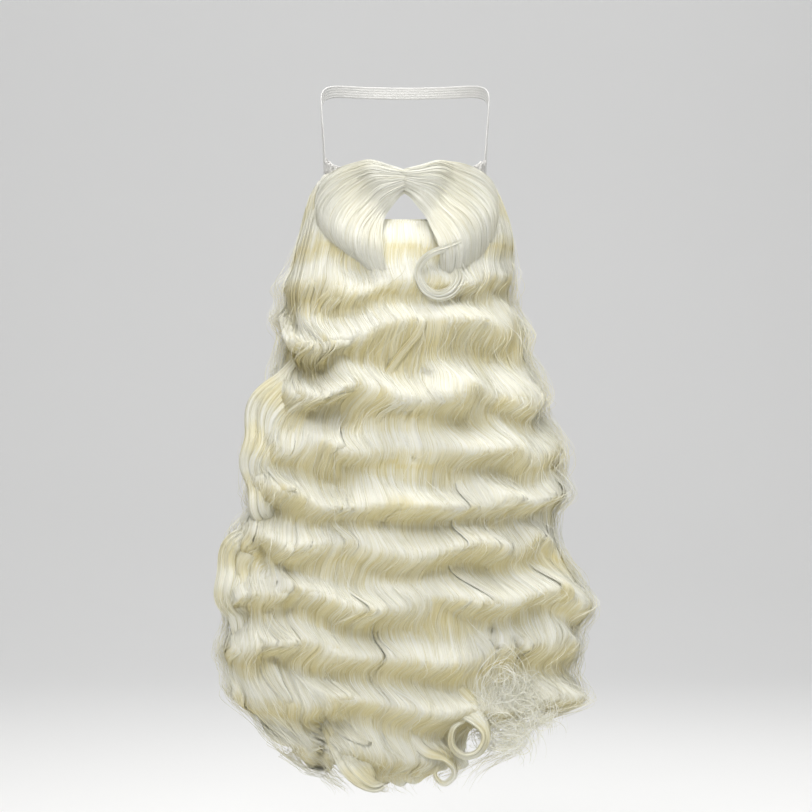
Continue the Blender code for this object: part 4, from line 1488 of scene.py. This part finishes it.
def loose_hairs(rng, number, centres, tops, length, rows, wildness):
    """Lines of loose hairs that keep roughly to the waves but stand off them."""
    t = np.linspace(0, 1, rows)[None, :]
    z = tops - np.minimum(length, tops + rng.uniform(0.474, 0.496, tops.shape)) * t
    tall = rng.uniform(0.001, 0.004, (number, 1))
    arch = rng.uniform(0, 0.008, (number, 1)) * wildness * np.sin(math.pi * t) ** 2
    lean = rng.normal(0, 0.035, (number, 1)) * wildness * t
    ripple = 0.012 * wildness * waver(rng, t, 3, 9, (number, 1))
    point, _, count = combed_point(
        np.clip(centres + lean + ripple, -0.995, 0.995),
        z,
        tall + arch,
        shift=rng.normal(0, 0.07, (number, 1)) * wildness,
        swing=1 + rng.normal(0, 0.35, (number, 1)) * wildness,
        depth=1 + rng.normal(0, 0.2, (number, 1)) * wildness,
    )
    return point, rng.uniform(0.05, 0.95, (number, 1)), streak_v(count)


# Frizzy ringlets at the lower right: middle, drop and radius in metres, turns and first angle
RINGLETS = (
    (0.080, -0.380, 0.044, 0.008, 1.1, 0.4),
    (0.092, -0.378, 0.034, 0.011, -1.4, 2.1),
    (0.106, -0.384, 0.034, 0.010, 1.8, 4.0),
    (0.074, -0.400, 0.036, 0.009, -1.7, 1.0),
    (0.090, -0.404, 0.036, 0.010, 1.5, 5.2),
    (0.104, -0.412, 0.030, 0.009, -1.6, 3.1),
    (0.082, -0.424, 0.028, 0.010, 1.3, 0.2),
    (0.096, -0.432, 0.022, 0.009, -1.5, 2.6),
    (0.120, -0.402, 0.024, 0.008, 1.4, 1.7),
    (0.128, -0.412, 0.020, 0.008, -1.2, 0.9),
)


def ringlet(x0, z0, drop, radius, turns, first, rows):
    """Centre line of a ringlet."""
    t = np.linspace(0, 1, rows)
    angle = 2 * math.pi * turns * t + first
    size = radius * (0.8 + 0.3 * t)
    x = x0 + size * np.cos(angle)
    z = z0 - drop * t + size * np.sin(angle) * 0.8
    y = -0.033 - 0.007 * np.cos(angle * 0.5) - 0.004 * t
    return np.stack([x, y, z], axis=-1)


def ringlet_hairs(rng, each, rows):
    """Thin hairs that share a ringlet's turns, each a little off its neighbours."""
    lines = []
    for x0, z0, drop, radius, turns, first in RINGLETS:
        middle = ringlet(x0, z0, drop, radius, turns, first, rows)
        centre = np.array([x0, -0.034, z0 - drop / 2])
        for _ in range(each):
            size = 1 + rng.normal(0, 0.36)
            moved = centre + (middle - centre) * size + rng.normal(0, 0.0048, 3)
            wobble = np.sin(np.linspace(0, rng.uniform(4, 14), rows) + rng.uniform(0, 6.3))
            lines.append(moved + wobble[:, None] * rng.normal(0, 0.0022, 3))
    return np.array(lines)


def ring_hairs(rng, number, rows):
    """Hairs of the ring on the chin: close together where they leave the wing, looser later."""
    middle = spline(CHIN_RING, rows)
    t = np.linspace(0, 1, rows)[None, :, None]
    centre = np.array([0.031, -0.038, -0.016])
    size = 1 + rng.normal(0, 0.10, (number, 1, 1)) * (0.6 + 0.8 * t)
    wobble = waver(rng, t, 3, 9, (number, 1, 1))
    lines = centre + (middle[None] - centre) * size + wobble * rng.normal(0, 0.0005, (number, 1, 3))
    lines[..., 1] -= rng.uniform(-0.0012, 0.0012, (number, 1))
    return lines


def flat_loose_hairs(rng, point, u, v, width):
    """Loose hairs as flat strips, each turned its own way."""
    out = rng.normal(0, 0.5, (len(point), 1, 3)) + np.array([0.0, -1.0, 0.0])
    return flat_hairs(rng, point, out * np.ones_like(point), u, v, width)


class BEARD_OT_stray_hairs(bpy.types.Operator):
    """Adds the loose hairs, the frizzy ringlets and the ring of hairs on the chin"""

    bl_idname = "beard.stray_hairs"
    bl_label = "Stray hairs"

    def execute(self, context):
        rng = np.random.default_rng(47)
        finish = hair_finish("stray_hair", 0.40, light=0.2, painted_light_share=0.3)
        number = context.scene.beard_sizes.stray_hairs
        side = rng.choice([-1.0, 1.0], (number, 1)) * (1 - 0.14 * rng.random((number, 1)) ** 1.6)
        tops = rng.uniform(-0.36, 0.03, (number, 1))
        length = np.minimum(rng.uniform(0.05, 0.17, (number, 1)), tops + 0.43)
        edge = loose_hairs(rng, number, side, tops, length, 26, 1.5)
        centres = rng.uniform(-0.85, 0.85, (number, 1))
        tops = rng.uniform(-0.42, 0.02, (number, 1))
        length = rng.uniform(0.03, 0.12, (number, 1))
        front = loose_hairs(rng, number, centres, tops, length, 26, 1.2)
        hem = rng.uniform(-0.98, 0.9, (number // 2, 1))
        tops = hair_edge("bottom", hem) + rng.uniform(0.02, 0.07, hem.shape)
        length = rng.uniform(0.04, 0.09, hem.shape)
        wisps = loose_hairs(rng, number // 2, hem, tops, length, 24, 1.6)
        curls = ringlet_hairs(rng, 26, 36)
        u = rng.uniform(0.05, 0.95, (len(curls), 1))
        # The ringlets and the chin ring take the painted crest highlight all along
        v = streak_v(PALE_COUNT) * np.ones(curls.shape[:2])
        ring = ring_hairs(rng, 100, 40)
        ring_u = rng.uniform(0.05, 0.95, (len(ring), 1))
        ring_v = streak_v(PALE_COUNT) * np.ones(ring.shape[:2])
        parts = [
            flat_loose_hairs(rng, ring, ring_u, ring_v, 0.00042),
            round_hairs(*edge, 0.00017),
            flat_loose_hairs(rng, *front, 0.00034),
            round_hairs(*wisps, 0.00017),
            flat_loose_hairs(rng, curls, u, v, 0.00046),
        ]
        piece("stray_hairs", parts, finish, "hair", "hanging_hair")
        return {"FINISHED"}


class BEARD_PT_panel(bpy.types.Panel):
    """Lists the beard's pieces"""

    bl_idname = "BEARD_PT_panel"
    bl_label = "Beard"
    bl_space_type = "VIEW_3D"
    bl_region_type = "UI"
    bl_category = "Beard"

    def draw(self, context):
        layout = self.layout
        for group in (context.scene.beard_sizes, context.scene.beard_colours):
            for name in type(group).__annotations__:
                layout.prop(group, name)
        for operator in OPERATORS:
            layout.operator(operator.bl_idname)


OPERATORS = (
    BEARD_OT_stage,
    BEARD_OT_cloth_base,
    BEARD_OT_tabs,
    BEARD_OT_elastic,
    BEARD_OT_inner_hair,
    BEARD_OT_long_hair,
    BEARD_OT_moustache,
    BEARD_OT_free_locks,
    BEARD_OT_stray_hairs,
)
CLASSES = (BeardSizes, BeardColours, *OPERATORS, BEARD_PT_panel)


def register():
    for made in CLASSES:
        bpy.utils.register_class(made)
    bpy.types.Scene.beard_sizes = bpy.props.PointerProperty(type=BeardSizes)
    bpy.types.Scene.beard_colours = bpy.props.PointerProperty(type=BeardColours)


def unregister():
    del bpy.types.Scene.beard_colours
    del bpy.types.Scene.beard_sizes
    for made in reversed(CLASSES):
        bpy.utils.unregister_class(made)


def main():
    register()
    for operator in OPERATORS:
        group, name = operator.bl_idname.split(".")
        getattr(getattr(bpy.ops, group), name)()


if __name__ == "__main__":
    main()
